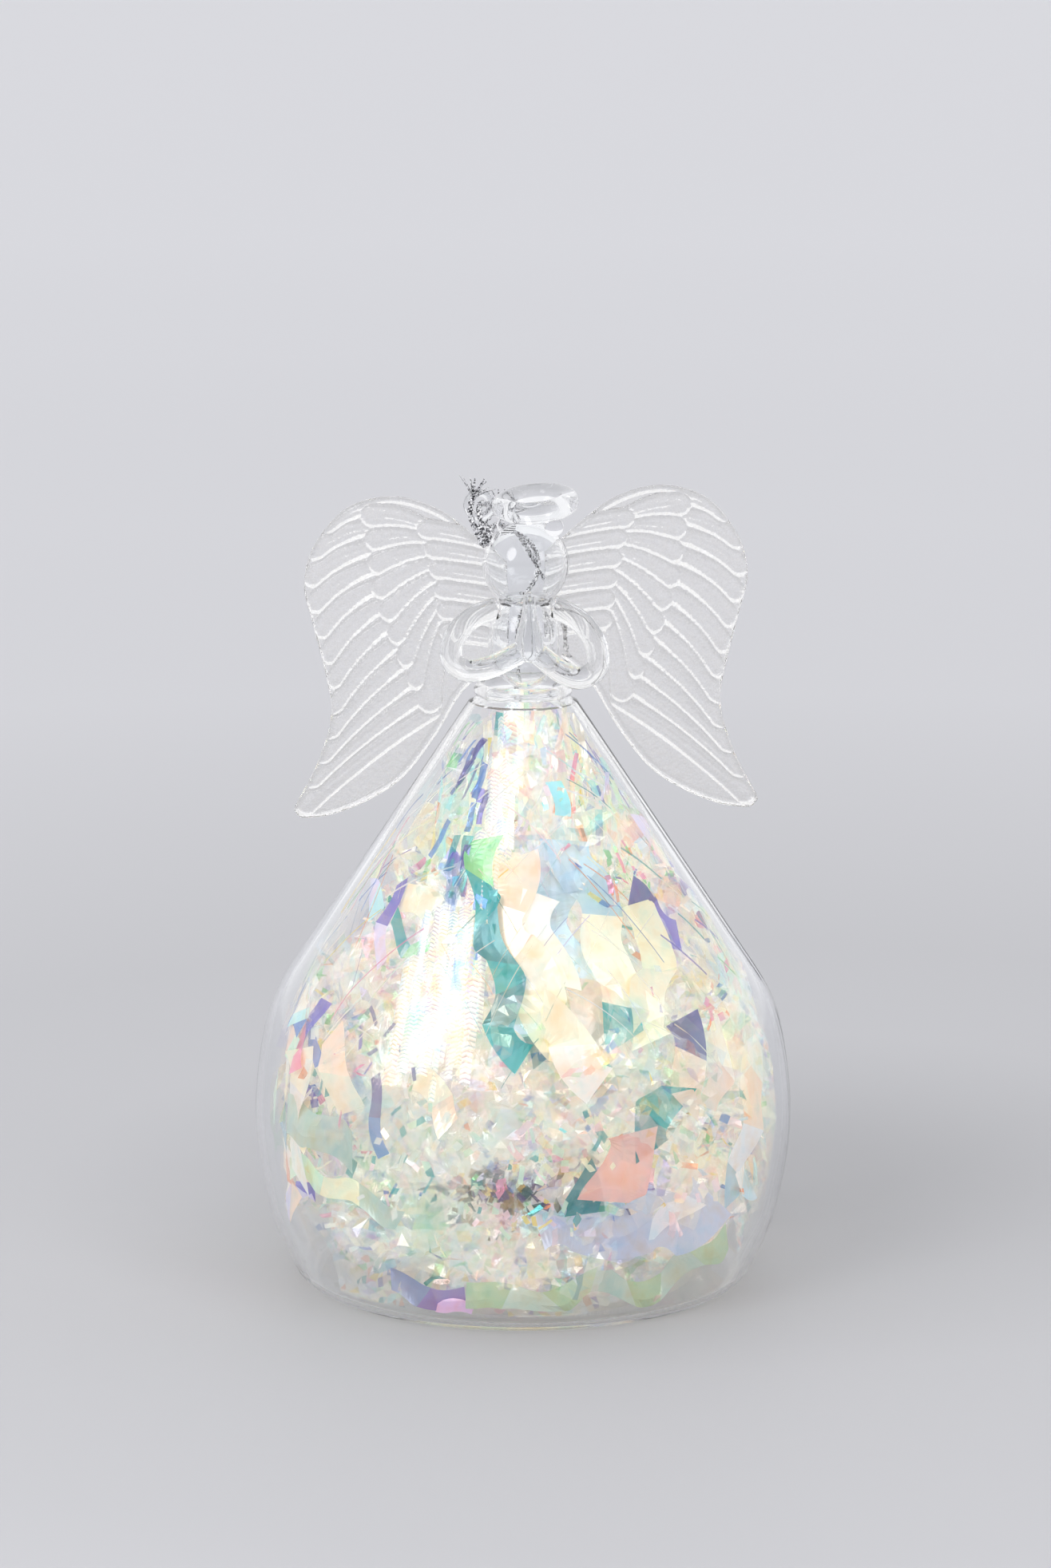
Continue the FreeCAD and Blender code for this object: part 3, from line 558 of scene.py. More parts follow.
# Lines on which the feathers of each tier begin and end, from the top of the wing down.
ROOT_GUIDE = [(8.0, 123.6), (5.4, 118.6), (4.2, 112.0), (5.0, 104.0)]
INNER_GUIDE = [(18.0, 125.6), (16.2, 120.4), (14.8, 114.4), (13.6, 105.4)]
MIDDLE_GUIDE = [(27.2, 128.4), (26.2, 121.8), (25.2, 113.6), (22.4, 106.0), (19.4, 99.6),
                (15.0, 91.4)]
OUTER_GUIDE = [(32.4, 125.2), (36.2, 118.4), (36.6, 113.2), (34.4, 104.6), (32.0, 96.0),
               (32.2, 89.8), (34.6, 82.6), (38.0, 76.4), (35.6, 75.4)]
FEATHER_TIERS = [
    # base guide, tip guide, feathers, half width at base and tip, sag, relief, rounded edge
    (MIDDLE_GUIDE, OUTER_GUIDE, 12, (1.15, 1.7), 0.9, 0.62, 0.48),
    (INNER_GUIDE, MIDDLE_GUIDE, 9, (1.1, 1.9), 0.5, 0.82, 0.5),
    (ROOT_GUIDE, INNER_GUIDE, 6, (1.2, 1.55), 0.2, 1.0, 0.5),
]
LOWEST_TIER = 0.62              # relief of the outer tier
GROOVE = 0.08                   # half width of the groove between neighbouring feathers
HOLLOW = 0.2                    # a feather's middle lies lower than its edges by this share
RIB_RISE, RIB_WIDTH = 0.2, 0.24


def along_guide(guide, share):
    """Point at a share of the guide's length."""
    points = [Vector((u, z, 0.0)) for u, z in guide]
    walked = distances(points)
    return Vector([np.interp(share * walked[-1], walked, [p[axis] for p in points])
                   for axis in range(3)])


def smooth_line(points, count):
    """Evenly spaced points on a smooth line through the given ones."""
    data = [Vector((u, z, 0.0)) for u, z in points]
    padded = [data[0] * 2 - data[1]] + data + [data[-1] * 2 - data[-2]]
    dense = []
    for p0, p1, p2, p3 in zip(padded, padded[1:], padded[2:], padded[3:]):
        for step in range(24):
            t = step / 24
            dense.append(0.5 * (2 * p1 + (p2 - p0) * t + (2 * p0 - 5 * p1 + 4 * p2 - p3) * t * t
                                + (3 * p1 - p0 - 3 * p2 + p3) * t ** 3))
    dense.append(data[-1])
    walked = distances(dense)
    marks = np.linspace(0, walked[-1], count)
    return np.stack([np.interp(marks, walked, [p[axis] for p in dense]) for axis in (0, 1)], 1)


def distance_to_line(places, line):
    """Distance of each place from a line of points, and how far along the nearest spot is."""
    best = np.full(len(places), 1e9)
    share = np.zeros(len(places))
    spans = len(line) - 1
    for index in range(spans):
        start = line[index]
        span = line[index + 1] - start
        along = np.clip(((places - start) @ span) / max(1e-9, span @ span), 0, 1)
        gap = np.hypot(*(places - start - along[:, None] * span).T)
        closer = gap < best
        best[closer] = gap[closer]
        share[closer] = (index + along[closer]) / spans
    return best, share


def feather_relief(places):
    """Height of the pressed feathers at each place, from 0 between them to 1 on the topmost."""
    relief = np.zeros(len(places))
    for base_guide, tip_guide, count, halves, sag, height, round_edge in FEATHER_TIERS:
        nearest = np.full(len(places), 1e9)
        second = np.full(len(places), 1e9)
        along = np.zeros(len(places))
        for row in range(count):
            share = (row + 0.5) / count
            base = along_guide(base_guide, share)
            tip = along_guide(tip_guide, share)
            way = (tip - base).normalized()
            bow = Vector((-way.y, way.x, 0.0)) * sag
            tip_end = tip - way * halves[1] * 0.9
            line = []
            for step in range(9):
                t = step / 8
                spot = (base - way).lerp(tip_end, t) + bow * 4 * t * (1 - t)
                line.append((spot.x, spot.y))
            gap, reached = distance_to_line(places, np.array(line))
            closer = gap < nearest
            second = np.where(closer, nearest, np.minimum(second, gap))
            along = np.where(closer, reached, along)
            nearest = np.where(closer, gap, nearest)
        half = halves[0] + (halves[1] - halves[0]) * np.minimum(along * 1.6, 1.0)
        inside = np.minimum(half - nearest, (second - nearest) / 2 - GROOVE)
        depth = np.clip(inside / round_edge, 0, 1)
        dome = np.sqrt(1 - (1 - depth) ** 2)
        belly = 1 - HOLLOW * np.clip(1 - nearest / half, 0, 1)
        rib = RIB_RISE * np.exp(-(nearest / RIB_WIDTH) ** 2) * np.clip((0.92 - along) * 5, 0, 1)
        tier = dome * (belly + rib)
        covered = np.clip((half + 0.3 - nearest) / 0.35, 0, 1)
        floor = (height - LOWEST_TIER) * 0.6
        relief = relief * (1 - covered) + covered * (floor + (height - floor) * tier)
    return relief


def wing_mesh(side):
    top = smooth_line(WING_TOP, WING_ROWS + 1)
    bottom = smooth_line(WING_BOTTOM, WING_ROWS + 1)
    shares = np.array([0.5 - 0.5 * cos(pi * k / WING_COLUMNS)
                       for k in range(WING_COLUMNS + 1)])
    shares = 0.6 * shares + 0.4 * np.linspace(0, 1, WING_COLUMNS + 1)
    across = shares[None, :, None]
    grid = top[:, None, :] * (1 - across) + bottom[:, None, :] * across
    places = grid.reshape(-1, 2)
    outline = np.concatenate([top, bottom[::-1], top[:1]])
    edge, _ = distance_to_line(places, outline)
    edge = np.clip(edge / EDGE_ROUND, 0, 1)
    rounding = EDGE_ROUND * (1 - np.sqrt(1 - (1 - edge) ** 2))
    hollow = RELIEF * (1 - feather_relief(places)) * edge
    front = WING_FRONT_Y + rounding + hollow
    back = WING_FRONT_Y + WING_THICKNESS - rounding - BACK_RELIEF * hollow
    back = np.maximum(back, front + 0.02)
    turn = radians(WING_SWEEP_DEG)
    shift = WING_SHIFTS[side]
    mirror = -1.0 if side == "left" else 1.0
    rows, columns = WING_ROWS + 1, WING_COLUMNS + 1
    verts = []
    index_of = {}
    for sheet, depths in enumerate((front, back)):
        for number, ((u, z), y) in enumerate(zip(places, depths)):
            row, column = divmod(number, columns)
            if row in (0, rows - 1) or column in (0, columns - 1):
                if sheet:
                    index_of[1, number] = index_of[0, number]
                    continue
                y = WING_FRONT_Y + WING_THICKNESS / 2
            out, deep = u - WING_ROOT_X, y - WING_FRONT_Y
            swept_x = WING_ROOT_X + out * cos(turn) - deep * sin(turn)
            swept_y = WING_FRONT_Y + out * sin(turn) + deep * cos(turn)
            index_of[sheet, number] = len(verts)
            verts.append((mirror * swept_x + shift[0], swept_y + shift[1], z + shift[2]))
    faces = []
    for sheet in (0, 1):
        for row in range(WING_ROWS):
            for column in range(WING_COLUMNS):
                first = row * columns + column
                ring = (first, first + 1, first + columns + 1, first + columns)
                face = tuple(index_of[sheet, number] for number in ring)
                faces.append(face[::-1] if (sheet == 0) == (side == "left") else face)
    return mesh_piece(side + "_wing_feathers", verts, faces, WING_GLASS)


for side in ("left", "right"):
    settle(wing_mesh(side), "pressed_glass", side + "_wing")


# ---- arms and hands -----------------------------------------------------------------------
FUSED_ARMS = ("left_arm", "right_arm", "left_hand", "right_hand")
ARM_VOXEL = 0.16


def fused_arms():
    """The arms flow into the pressed hands as one piece of glass."""
    grid = bmesh.new()
    for name in FUSED_ARMS:
        grid.from_mesh(nodes[name].data)
    mesh = bpy.data.meshes.new("arms_fused")
    grid.to_mesh(mesh)
    grid.free()
    piece = link("arms_fused", mesh, ROD_GLASS)
    remesh = piece.modifiers.new("fuse", "REMESH")
    remesh.mode = "VOXEL"
    remesh.voxel_size = ARM_VOXEL * MM
    remesh.use_smooth_shade = True
    soften = piece.modifiers.new("soften", "SMOOTH")
    soften.factor = 0.6
    soften.iterations = 10
    shaped = bpy.data.meshes.new_from_object(piece.evaluated_get(
        bpy.context.evaluated_depsgraph_get()))
    piece.modifiers.clear()
    piece.data = shaped
    bpy.data.meshes.remove(mesh)
    return piece


settle(fused_arms(), "rod_glass", *FUSED_ARMS)


# ---- film ---------------------------------------------------------------------------------
# Radius of the bell's inner wall, and how far out the loose film reaches, by height.
INNER_WALL = [(1.2, 34.0), (3.0, 37.6), (8.0, 39.6), (16.0, 41.9), (26.0, 43.2), (40.0, 42.0),
              (52.3, 37.2), (96.4, 7.9), (97.2, 3.0)]
FILM_REACH = [(3.0, 31.5), (8.0, 35.0), (20.0, 38.5), (32.0, 40.0), (44.0, 39.5), (52.0, 35.0),
              (60.0, 29.0), (70.0, 23.0), (80.0, 17.0), (90.0, 11.0), (96.5, 7.0)]
FILM_DRIFT = 1.2                # the film lies a little towards the viewer's right
WALL_GAP = 1.0
FILM_FOOT, FILM_TOP = 2.8, 96.7
PLUG_TOP, PLUG_REACH = 11.0, 16.2               # the light unit, which the film keeps off
TUBE_TOP, TUBE_REACH, TUBE_Y = 25.0, 8.4, 2.6
STRIP_SIDES = (-0.5, -0.17, 0.17, 0.5)          # shares of a strip's width
PASTELS = [(1.0, 0.985, 0.93), (1.0, 0.93, 0.85), (0.99, 0.86, 0.87), (0.89, 0.85, 0.96),
           (0.80, 0.90, 0.96), (0.74, 0.93, 0.93), (0.85, 0.96, 0.86), (0.99, 0.97, 0.82)]
FLASHES = [(0.14, 0.64, 0.64), (0.45, 0.40, 0.76), (0.98, 0.64, 0.46), (0.98, 0.86, 0.42),
           (0.52, 0.82, 0.54), (0.95, 0.60, 0.72), (0.30, 0.50, 0.78)]
# Dark film for the heap's core: partly its own dark colour, partly painted shade, as the loose film
# there throws no shadow.
DARK_FILM_AND_SHADE = [(0.62, 0.48, 0.16), (0.34, 0.30, 0.20), (0.20, 0.36, 0.36), (0.30, 0.24, 0.46)]
PLAIN = [(0.98, 0.96, 0.90), (0.96, 0.95, 0.89), (0.99, 0.95, 0.91), (0.95, 0.95, 0.96)]


def keep_inside(point):
    """Moves a film point off the glass wall and off the light unit."""
    x, y, z = point.x, point.y, min(FILM_TOP, max(FILM_FOOT, point.z))
    wall = table_value(INNER_WALL, z) - WALL_GAP
    away = hypot(x, y)
    if away > wall:
        x, y = x * wall / away, y * wall / away
    elif z < PLUG_TOP and away < PLUG_REACH:
        grow = PLUG_REACH / max(0.5, away)
        x, y = x * grow, y * grow
    from_tube = hypot(x, y - TUBE_Y)
    if z < TUBE_TOP and from_tube < TUBE_REACH:
        grow = TUBE_REACH / max(0.5, from_tube)
        x, y = x * grow, TUBE_Y + (y - TUBE_Y) * grow
    return Vector((x, y, z))


def outward_at(point, rise):
    """Direction from the bell's axis out through a point, tipped upwards as the wall is."""
    return Vector((point.x, point.y, rise)).normalized()


def wall_place(x, z, inset):
    """Point on the front of the bell, inset from its inner wall."""
    reach = max(1.0, table_value(INNER_WALL, z) - inset)
    widest = reach * 0.98
    x = max(-widest, min(widest, x))
    return Vector((x, -sqrt(reach * reach - x * x), z))


class Film:
    """Gathers facets of film, with a colour for each."""

    def __init__(self):
        self.verts = []
        self.faces = []
        self.colours = []

    def grid(self, rows, colours):
        """rows: lists of points across the strip; colours: one for each gap between rows."""
        base = len(self.verts)
        width = len(rows[0])
        for row in rows:
            self.verts.extend(keep_inside(point) for point in row)
        for index in range(len(rows) - 1):
            for column in range(width - 1):
                first = base + index * width + column
                self.faces.append((first, first + 1, first + width + 1, first + width))
                self.colours.append(colours[index])

    def piece(self, name, material):
        piece = mesh_piece(name, self.verts, self.faces, material, smooth=False)
        layer = piece.data.color_attributes.new("film_colour", "FLOAT_COLOR", "CORNER")
        for polygon in piece.data.polygons:
            colour = linear(self.colours[polygon.index])
            for corner in polygon.loop_indices:
                layer.data[corner].color = colour
        return piece


def strip(film, joints, acrosses, width, colours, phase, wave, curl, wave_length=16.0):
    """Wave-cut strip with flat panels between joints, and one colour for each panel."""
    def row_at(centre, across, lift):
        slide = wave * sin(2 * pi * walked / wave_length)
        return [centre + across * (slide + width * side) + normal * (lift * (1 - 2 * abs(side)))
                for side in STRIP_SIDES]

    rows = []
    shades = []
    walked = phase
    for index, (start, end) in enumerate(zip(joints, joints[1:])):
        run = (end - start).length
        steps = max(1, round(run))
        normal = (end - start).cross(acrosses[index]).normalized()
        for step in range(steps):
            share = step / steps
            across = acrosses[index].lerp(acrosses[index + 1], share)
            rows.append(row_at(start.lerp(end, share), across, curl * sin(pi * share)))
            shades.append(colours[index])
            walked += run / steps
    rows.append(row_at(joints[-1], acrosses[-1], 0.0))
    film.grid(rows, shades)


def facet_colours(draw, count, flash_share, dark_share=0.0):
    """Colours that step from one to a near one, with some vivid flashes."""
    index = draw.randrange(len(PASTELS))
    colours = []
    for _ in range(count):
        roll = draw.random()
        # The dark ones are partly painted shade.
        if roll < dark_share:
            colours.append(draw.choice(DARK_FILM_AND_SHADE))
        elif roll < dark_share + flash_share:
            colours.append(draw.choice(FLASHES))
        elif roll < flash_share + 0.5:
            colours.append(draw.choice(PLAIN))
        else:
            index = (index + draw.choice((-1, 0, 1))) % len(PASTELS)
            colours.append(PASTELS[index])
    return colours


def random_way(draw, flatten=1.0):
    """Random direction; flatten under 1 keeps it nearer to level."""
    angle = draw.uniform(0, 2 * pi)
    rise = draw.uniform(-1, 1) * flatten
    level = sqrt(max(0.0, 1 - rise * rise))
    return Vector((cos(angle) * level, sin(angle) * level, rise))


def film_place(draw, low, high, crowd):
    """Point in the film's space between two heights; crowd under 0.5 keeps it near the wall."""
    z = draw.uniform(low, high)
    reach = table_value(FILM_REACH, z)
    angle = draw.uniform(0, 2 * pi)
    away = reach * draw.random() ** crowd
    return Vector((FILM_DRIFT + away * sin(angle), -away * cos(angle), z))


def wandering_strip(film, draw, start, way, panels, width, flash_share, fold, step_range, wave=0.9,
                    dark_share=0.0):
    """Strip that folds from panel to panel and turns back before it leaves the film's space."""
    across = way.cross(random_way(draw)).normalized()
    joints = [start]
    acrosses = [across]
    for _ in range(panels):
        step = draw.uniform(*step_range)
        turn = draw.uniform(-fold, fold)
        way = (Matrix.Rotation(turn, 3, across) @ way).normalized()
        across = (Matrix.Rotation(draw.uniform(-0.5, 0.5), 3, way) @ across).normalized()
        end = joints[-1] + way * step
        reach = table_value(FILM_REACH, end.z)
        away = hypot(end.x - FILM_DRIFT, end.y)
        if away > reach or not 3.0 <= end.z <= 96.0:
            inward = Vector((FILM_DRIFT, 0.0, min(92.0, max(6.0, end.z)))) - joints[-1]
            way = (way * 0.3 + inward.normalized()).normalized()
            across = (across - way * across.dot(way)).normalized()
            end = joints[-1] + way * step
        joints.append(end)
        acrosses.append(across)
    colours = facet_colours(draw, panels, flash_share, dark_share)
    strip(film, joints, acrosses, width, colours, draw.uniform(0, 10), wave=wave,
          curl=draw.uniform(-0.5, 0.5))


RIBBON_ZONES = [
    # lowest, highest, number, width range, panels, vividness
    (4.0, 20.0, 60, (4.0, 7.5), 7, 0.06),
    (14.0, 44.0, 95, (4.0, 7.5), 7, 0.08),
    (38.0, 66.0, 55, (4.0, 7.0), 7, 0.08),
    (60.0, 82.0, 26, (2.4, 5.0), 6, 0.10),
]


def random_ribbons(film, draw):
    """Broad ribbons tangled through the whole bell."""
    for low, high, count, widths, panels, vivid in RIBBON_ZONES:
        for _ in range(count):
            start = film_place(draw, low, high, 0.6)
            way = random_way(draw, 0.8)
            wandering_strip(film, draw, start, way, panels, draw.uniform(*widths), vivid, 1.0,
                            (3.0, 7.5))


CONE_SHREDS, LOOSE_SHREDS = 190, 900
CORE_SHREDS = [
    # number, middle and spread of x, y range, z range, panels, width range, vividness,
    # panel length range, share of dark ones
    # The core's dark shreds are partly painted shade.
    (130, (1, 6), (-36, -27), (16, 26), 3, (0.5, 1.6), 0.3, (0.8, 2.2), 0.45),
    (110, (-2, 4), (-39, -31), (20.5, 26), 2, (0.6, 1.8), 0.1, (0.8, 2.0), 0.75),
]


def random_shreds(film, draw):
    """Narrow shreds: upright in the cone, tangled lower down, darkest in the core, where the dark
    shreds are partly painted shade.
    """
    for _ in range(CONE_SHREDS):
        start = film_place(draw, 74.0, 96.0, 0.5)
        way = Vector((draw.uniform(-0.3, 0.3), draw.uniform(-0.3, 0.3), -1.0)).normalized()
        wandering_strip(film, draw, start, way, 4, draw.uniform(0.5, 1.6), 0.12, 0.35, (2.0, 5.0),
                        wave=0.1)
    for _ in range(LOOSE_SHREDS):
        start = film_place(draw, 8.0, 74.0, 0.36)
        wandering_strip(film, draw, start, random_way(draw), 4, draw.uniform(0.4, 1.5), 0.26, 1.2,
                        (0.8, 2.8), wave=0.1)
    for count, (x, spread), depths, heights, panels, widths, vivid, runs, dark in CORE_SHREDS:
        for _ in range(count):
            start = Vector((draw.gauss(x, spread), draw.uniform(*depths), draw.uniform(*heights)))
            wandering_strip(film, draw, start, random_way(draw), panels, draw.uniform(*widths),
                            vivid, 1.2, runs, wave=0.1, dark_share=dark)


def crumpled_sheet(film, draw, centre, across, along, width, length, depth, cell, flash_share):
    """Sheet crushed into small facets that point every way."""
    normal = across.cross(along).normalized()
    columns = max(2, round(width / cell))
    rows = max(2, round(length / cell))
    bend = draw.uniform(-0.06, 0.06)
    base = len(film.verts)
    for row in range(rows + 1):
        for column in range(columns + 1):
            u = (column / columns - 0.5) * width + draw.uniform(-0.3, 0.3) * cell
            v = (row / rows - 0.5) * length + draw.uniform(-0.3, 0.3) * cell
            lift = draw.uniform(-depth, depth) + bend * v * v
            film.verts.append(keep_inside(centre + across * u + along * v + normal * lift))
    shade = facet_colours(draw, 1, flash_share)[0]
    for row in range(rows):
        for column in range(columns):
            first = base + row * (columns + 1) + column
            ring = (first, first + 1, first + columns + 2, first + columns + 1)
            cut = ((0, 1, 3), (1, 2, 3)) if draw.random() < 0.5 else ((0, 1, 2), (0, 2, 3))
            for half in cut:
                film.faces.append(tuple(ring[corner] for corner in half))
                if draw.random() < 0.35:
                    shade = facet_colours(draw, 1, flash_share)[0]
                film.colours.append(shade)


CRUMPLE_ZONES = [
    # lowest, highest, number, crowding, width range, length range
    (4.0, 24.0, 60, 0.34, (8.0, 16.0), (10.0, 22.0)),
    (16.0, 48.0, 120, 0.34, (7.0, 15.0), (10.0, 24.0)),
    (42.0, 72.0, 66, 0.36, (6.0, 12.0), (10.0, 22.0)),
    (68.0, 93.0, 44, 0.5, (3.0, 7.0), (8.0, 16.0)),
]


def crumpled_film(film, draw):
    """Crushed sheets through the whole bell; they carry the fine glitter."""
    for low, high, count, crowd, widths, lengths in CRUMPLE_ZONES:
        for _ in range(count):
            centre = film_place(draw, low, high, crowd)
            outward = outward_at(centre, 6.0)
            along = Vector((0.0, 0.0, 1.0)) + random_way(draw) * (0.5 if low > 60 else 1.2)
            along = (along - outward * along.dot(outward) * 0.8).normalized()
            across = along.cross(outward).normalized()
            crumpled_sheet(film, draw, centre, across, along, draw.uniform(*widths),
                           draw.uniform(*lengths), draw.uniform(0.25, 0.8),
                           draw.uniform(0.8, 1.7), 0.16)


PLEAT_STEPS = 4                 # rows of points in one pleat
# Darker tinted rows on each pleat's slope: partly the film's colour, partly painted shade that
# draws the pleat lines.
CREASE_TINTS_AND_SHADE = [(0.88, 0.78, 0.82), (0.78, 0.75, 0.88), (0.93, 0.87, 0.74), (0.75, 0.86, 0.90)]


def pleat_shade(draw):
    """Mostly a plain shade, now and then a pastel one."""
    return draw.choice(PLAIN if draw.random() < 0.85 else PASTELS)


def pleated_columns(film, draw):
    """Finely pleated film pressed against the glass on the left, where it catches the light."""
    for x, z, spread, count, length in PLEAT_PLACES:
        for _ in range(count):
            top = wall_place(x + draw.uniform(-spread, spread), z + draw.uniform(-2, 2),
                             draw.uniform(1.3, 3.4))
            foot_z = top.z - length * draw.uniform(0.6, 1.0)
            foot = wall_place(top.x * (1.0 + 0.01 * length), foot_z, draw.uniform(1.3, 3.4))
            outward = outward_at(top, 10.0)
            side = (foot - top).cross(outward).normalized()
            side = (side + outward * draw.uniform(-0.25, 0.25)).normalized()
            pitch = draw.uniform(0.55, 0.95)
            width = draw.uniform(0.9, 2.2)
            steps = max(8, round((foot - top).length / pitch * PLEAT_STEPS))
            rows, shades = [], []
            shade = pleat_shade(draw)
            crease_tint_and_shade = draw.choice(CREASE_TINTS_AND_SHADE)
            for step in range(steps + 1):
                fold = 0.085 * pitch * sin(2 * pi * step / PLEAT_STEPS)
                centre = top.lerp(foot, step / steps) + outward * fold
                rows.append([centre + side * (width * place) - outward * (place * place * 1.1)
                             - Vector((0, 0, place * place * 1.4))
                             for place in (-0.5, 0.0, 0.5)])
                if step % PLEAT_STEPS == 0 and draw.random() < 0.3:
                    shade = pleat_shade(draw)
                # Every fourth row takes the crease tint, which is partly painted shade.
                shades.append(crease_tint_and_shade if step % PLEAT_STEPS == 2 else shade)
            film.grid(rows, shades)


CREAM, PEACH, PINK, LILAC, SKY, AQUA, MINT, LEMON = PASTELS
TEAL, VIOLET, ORANGE, YELLOW, GREEN, ROSE, AZURE = FLASHES
SALMON_SOFT = (0.96, 0.74, 0.70)
WARM_PEACH = (1.0, 0.89, 0.79)
WARM_CREAM = (1.0, 0.96, 0.85)
GREY_BLUE = (0.76, 0.78, 0.86)
GREY_GREEN = (0.74, 0.80, 0.74)
SOFT_BLUE = (0.70, 0.81, 0.86)
DUSTY_PEACH = (0.95, 0.86, 0.80)
NAVY = (0.36, 0.34, 0.60)
LEAF = (0.69, 0.77, 0.62)
BRIGHT_AQUA = (0.50, 0.84, 0.86)
STEEL_BLUE = (0.46, 0.50, 0.64)
DUSK_VIOLET = (0.55, 0.46, 0.70)
DARK_TEAL = (0.16, 0.52, 0.54)
PINK_LILAC = (0.90, 0.74, 0.88)
# Strips that hang or lie just inside the front of the bell: points (x, z), inset, width, crease
# slant and colours.
FRONT_STRIPS = [
    ([(-5, 77), (-7, 71), (-6, 65), (-3, 59), (-3, 55), (-3, 50), (0, 45)], 1.7, 4.8, 0.5,
     [GREEN, TEAL, DARK_TEAL, TEAL, DARK_TEAL, TEAL]),
    ([(-1, 74), (-3, 67), (-1, 60), (3, 54), (6, 47), (10, 42)], 2.6, 7.0, 0.6,
     [WARM_PEACH, WARM_PEACH, WARM_CREAM, LEMON, WARM_CREAM]),
    ([(2, 69), (3, 62), (5, 56)], 2.0, 5.6, -0.5, [PLAIN[0], WARM_CREAM]),
    ([(2, 75), (4, 69), (5, 63), (9, 56), (12, 49), (14, 44)], 4.4, 6.6, 0.5,
     [SOFT_BLUE, SOFT_BLUE, SKY, DUSTY_PEACH, DUSTY_PEACH]),
    ([(7, 76), (10, 70), (12, 65), (14, 59), (15, 52), (17, 47)], 3.2, 7.4, -0.35,
     [SOFT_BLUE, SOFT_BLUE, WARM_CREAM, WARM_CREAM, TEAL]),
    ([(19, 66), (20, 60), (22, 56), (19, 51), (20, 46)], 3.0, 7.4, 0.35,
     [LEMON, LEMON, WARM_CREAM, LEMON]),
    ([(3, 51), (8, 47), (12, 41)], 1.8, 6.6, 0.7, [WARM_CREAM, PLAIN[2]]),
    ([(16, 49), (19, 46)], 4.6, 5.0, 0.4, [AQUA]),
    ([(-1, 52), (1, 48), (3, 44)], 4.6, 4.0, 0.3, [AQUA, DARK_TEAL]),
    ([(17, 67), (20, 64), (25, 60)], 3.6, 5.6, 0.3, [NAVY, VIOLET]),
    ([(25, 49), (26, 44), (27, 39), (26, 35)], 2.2, 6.6, 0.5, [NAVY, WARM_PEACH, DUSTY_PEACH]),
    ([(31, 47), (32, 40), (30, 34)], 3.0, 4.6, 0.4, [PLAIN[1], DUSTY_PEACH]),
    ([(24, 39), (21, 34), (20, 29)], 3.0, 6.4, 0.6, [TEAL, DARK_TEAL]),
    ([(18, 33), (16, 28), (13, 22)], 2.4, 8.4, 0.5, [SALMON_SOFT, SALMON_SOFT]),
    ([(8, 25), (10, 20)], 3.4, 7.0, 0.5, [DARK_TEAL]),
    ([(2, 19), (10, 18), (18, 17), (25, 16), (31, 18)], 4.0, 9.0, 0.5,
     [GREY_BLUE] * 4),
    ([(12, 14), (20, 15), (27, 20)], 3.4, 4.0, 0.5, [GREY_BLUE, PLAIN[3]]),
    ([(-9, 7), (-3, 5), (4, 6), (11, 8), (17, 6), (22, 6), (28, 9), (33, 11)], 2.4, 4.0, 0.6,
     [LEAF, GREY_GREEN] * 3 + [LEAF]),
    ([(-21, 6), (-15, 6), (-9, 4.5)], 2.4, 3.4, 0.5, [STEEL_BLUE, DUSK_VIOLET]),
    ([(-14, 3.6), (-8, 3.4)], 1.6, 2.6, 0.3, [PINK_LILAC]),
    ([(-32, 50), (-35, 44), (-37, 38)], 1.6, 3.4, 0.4, [VIOLET, ROSE]),
    ([(-34, 46), (-33, 40), (-30, 35)], 2.6, 3.4, 0.4, [AZURE, WARM_CREAM]),
    ([(-31, 45), (-29, 40), (-28, 34)], 2.4, 5.4, 0.4, [WARM_PEACH, WARM_CREAM]),
    ([(-24, 40), (-23, 34), (-22, 28)], 3.4, 2.6, 0.3, [NAVY, AZURE]),
    ([(-17, 41), (-13, 38), (-11, 35)], 2.4, 4.4, 0.4, [WARM_CREAM, WARM_PEACH]),
    ([(-38, 30), (-33, 31), (-27, 28)], 1.2, 6.4, 0.4, [GREY_GREEN, GREY_GREEN]),
    ([(-38, 21), (-32, 22), (-26, 20), (-19, 19)], 2.2, 3.4, 0.5, [MINT, LEMON, GREY_GREEN]),
    ([(-20, 68), (-22, 62), (-23, 56)], 3.4, 3.0, 0.4, [VIOLET, LILAC]),
    ([(-19, 67), (-15, 65)], 2.6, 5.0, 0.3, [WARM_CREAM]),
    ([(-21, 63), (-18, 60), (-15, 61)], 3.0, 2.6, 0.3, [TEAL, GREEN]),
    ([(5, 85), (5.4, 80)], 1.8, 2.6, 0.1, [BRIGHT_AQUA]),
    ([(8, 72), (9, 69)], 1.8, 3.4, 0.1, [SOFT_BLUE]),
]
# Pleated film: top x, z, spread of x, number of columns and their length.
PLEAT_PLACES = [
    (-2.5, 96, 1.5, 12, 13), (-3.5, 87, 1.8, 14, 14), (-6, 76, 2.6, 14, 14), (-11, 65, 5.0, 20, 16),
    (-13, 58, 6.0, 28, 18),
]


SIDE_SECTOR = (radians(64), radians(296))     # angle round the bell from its front
SIDE_STRIPS = 72
SIDE_SHADES = (PASTELS * 2 + PLAIN * 2 + FLASHES
               + [WARM_CREAM, WARM_PEACH, DUSTY_PEACH, SOFT_BLUE, GREY_BLUE] * 3)


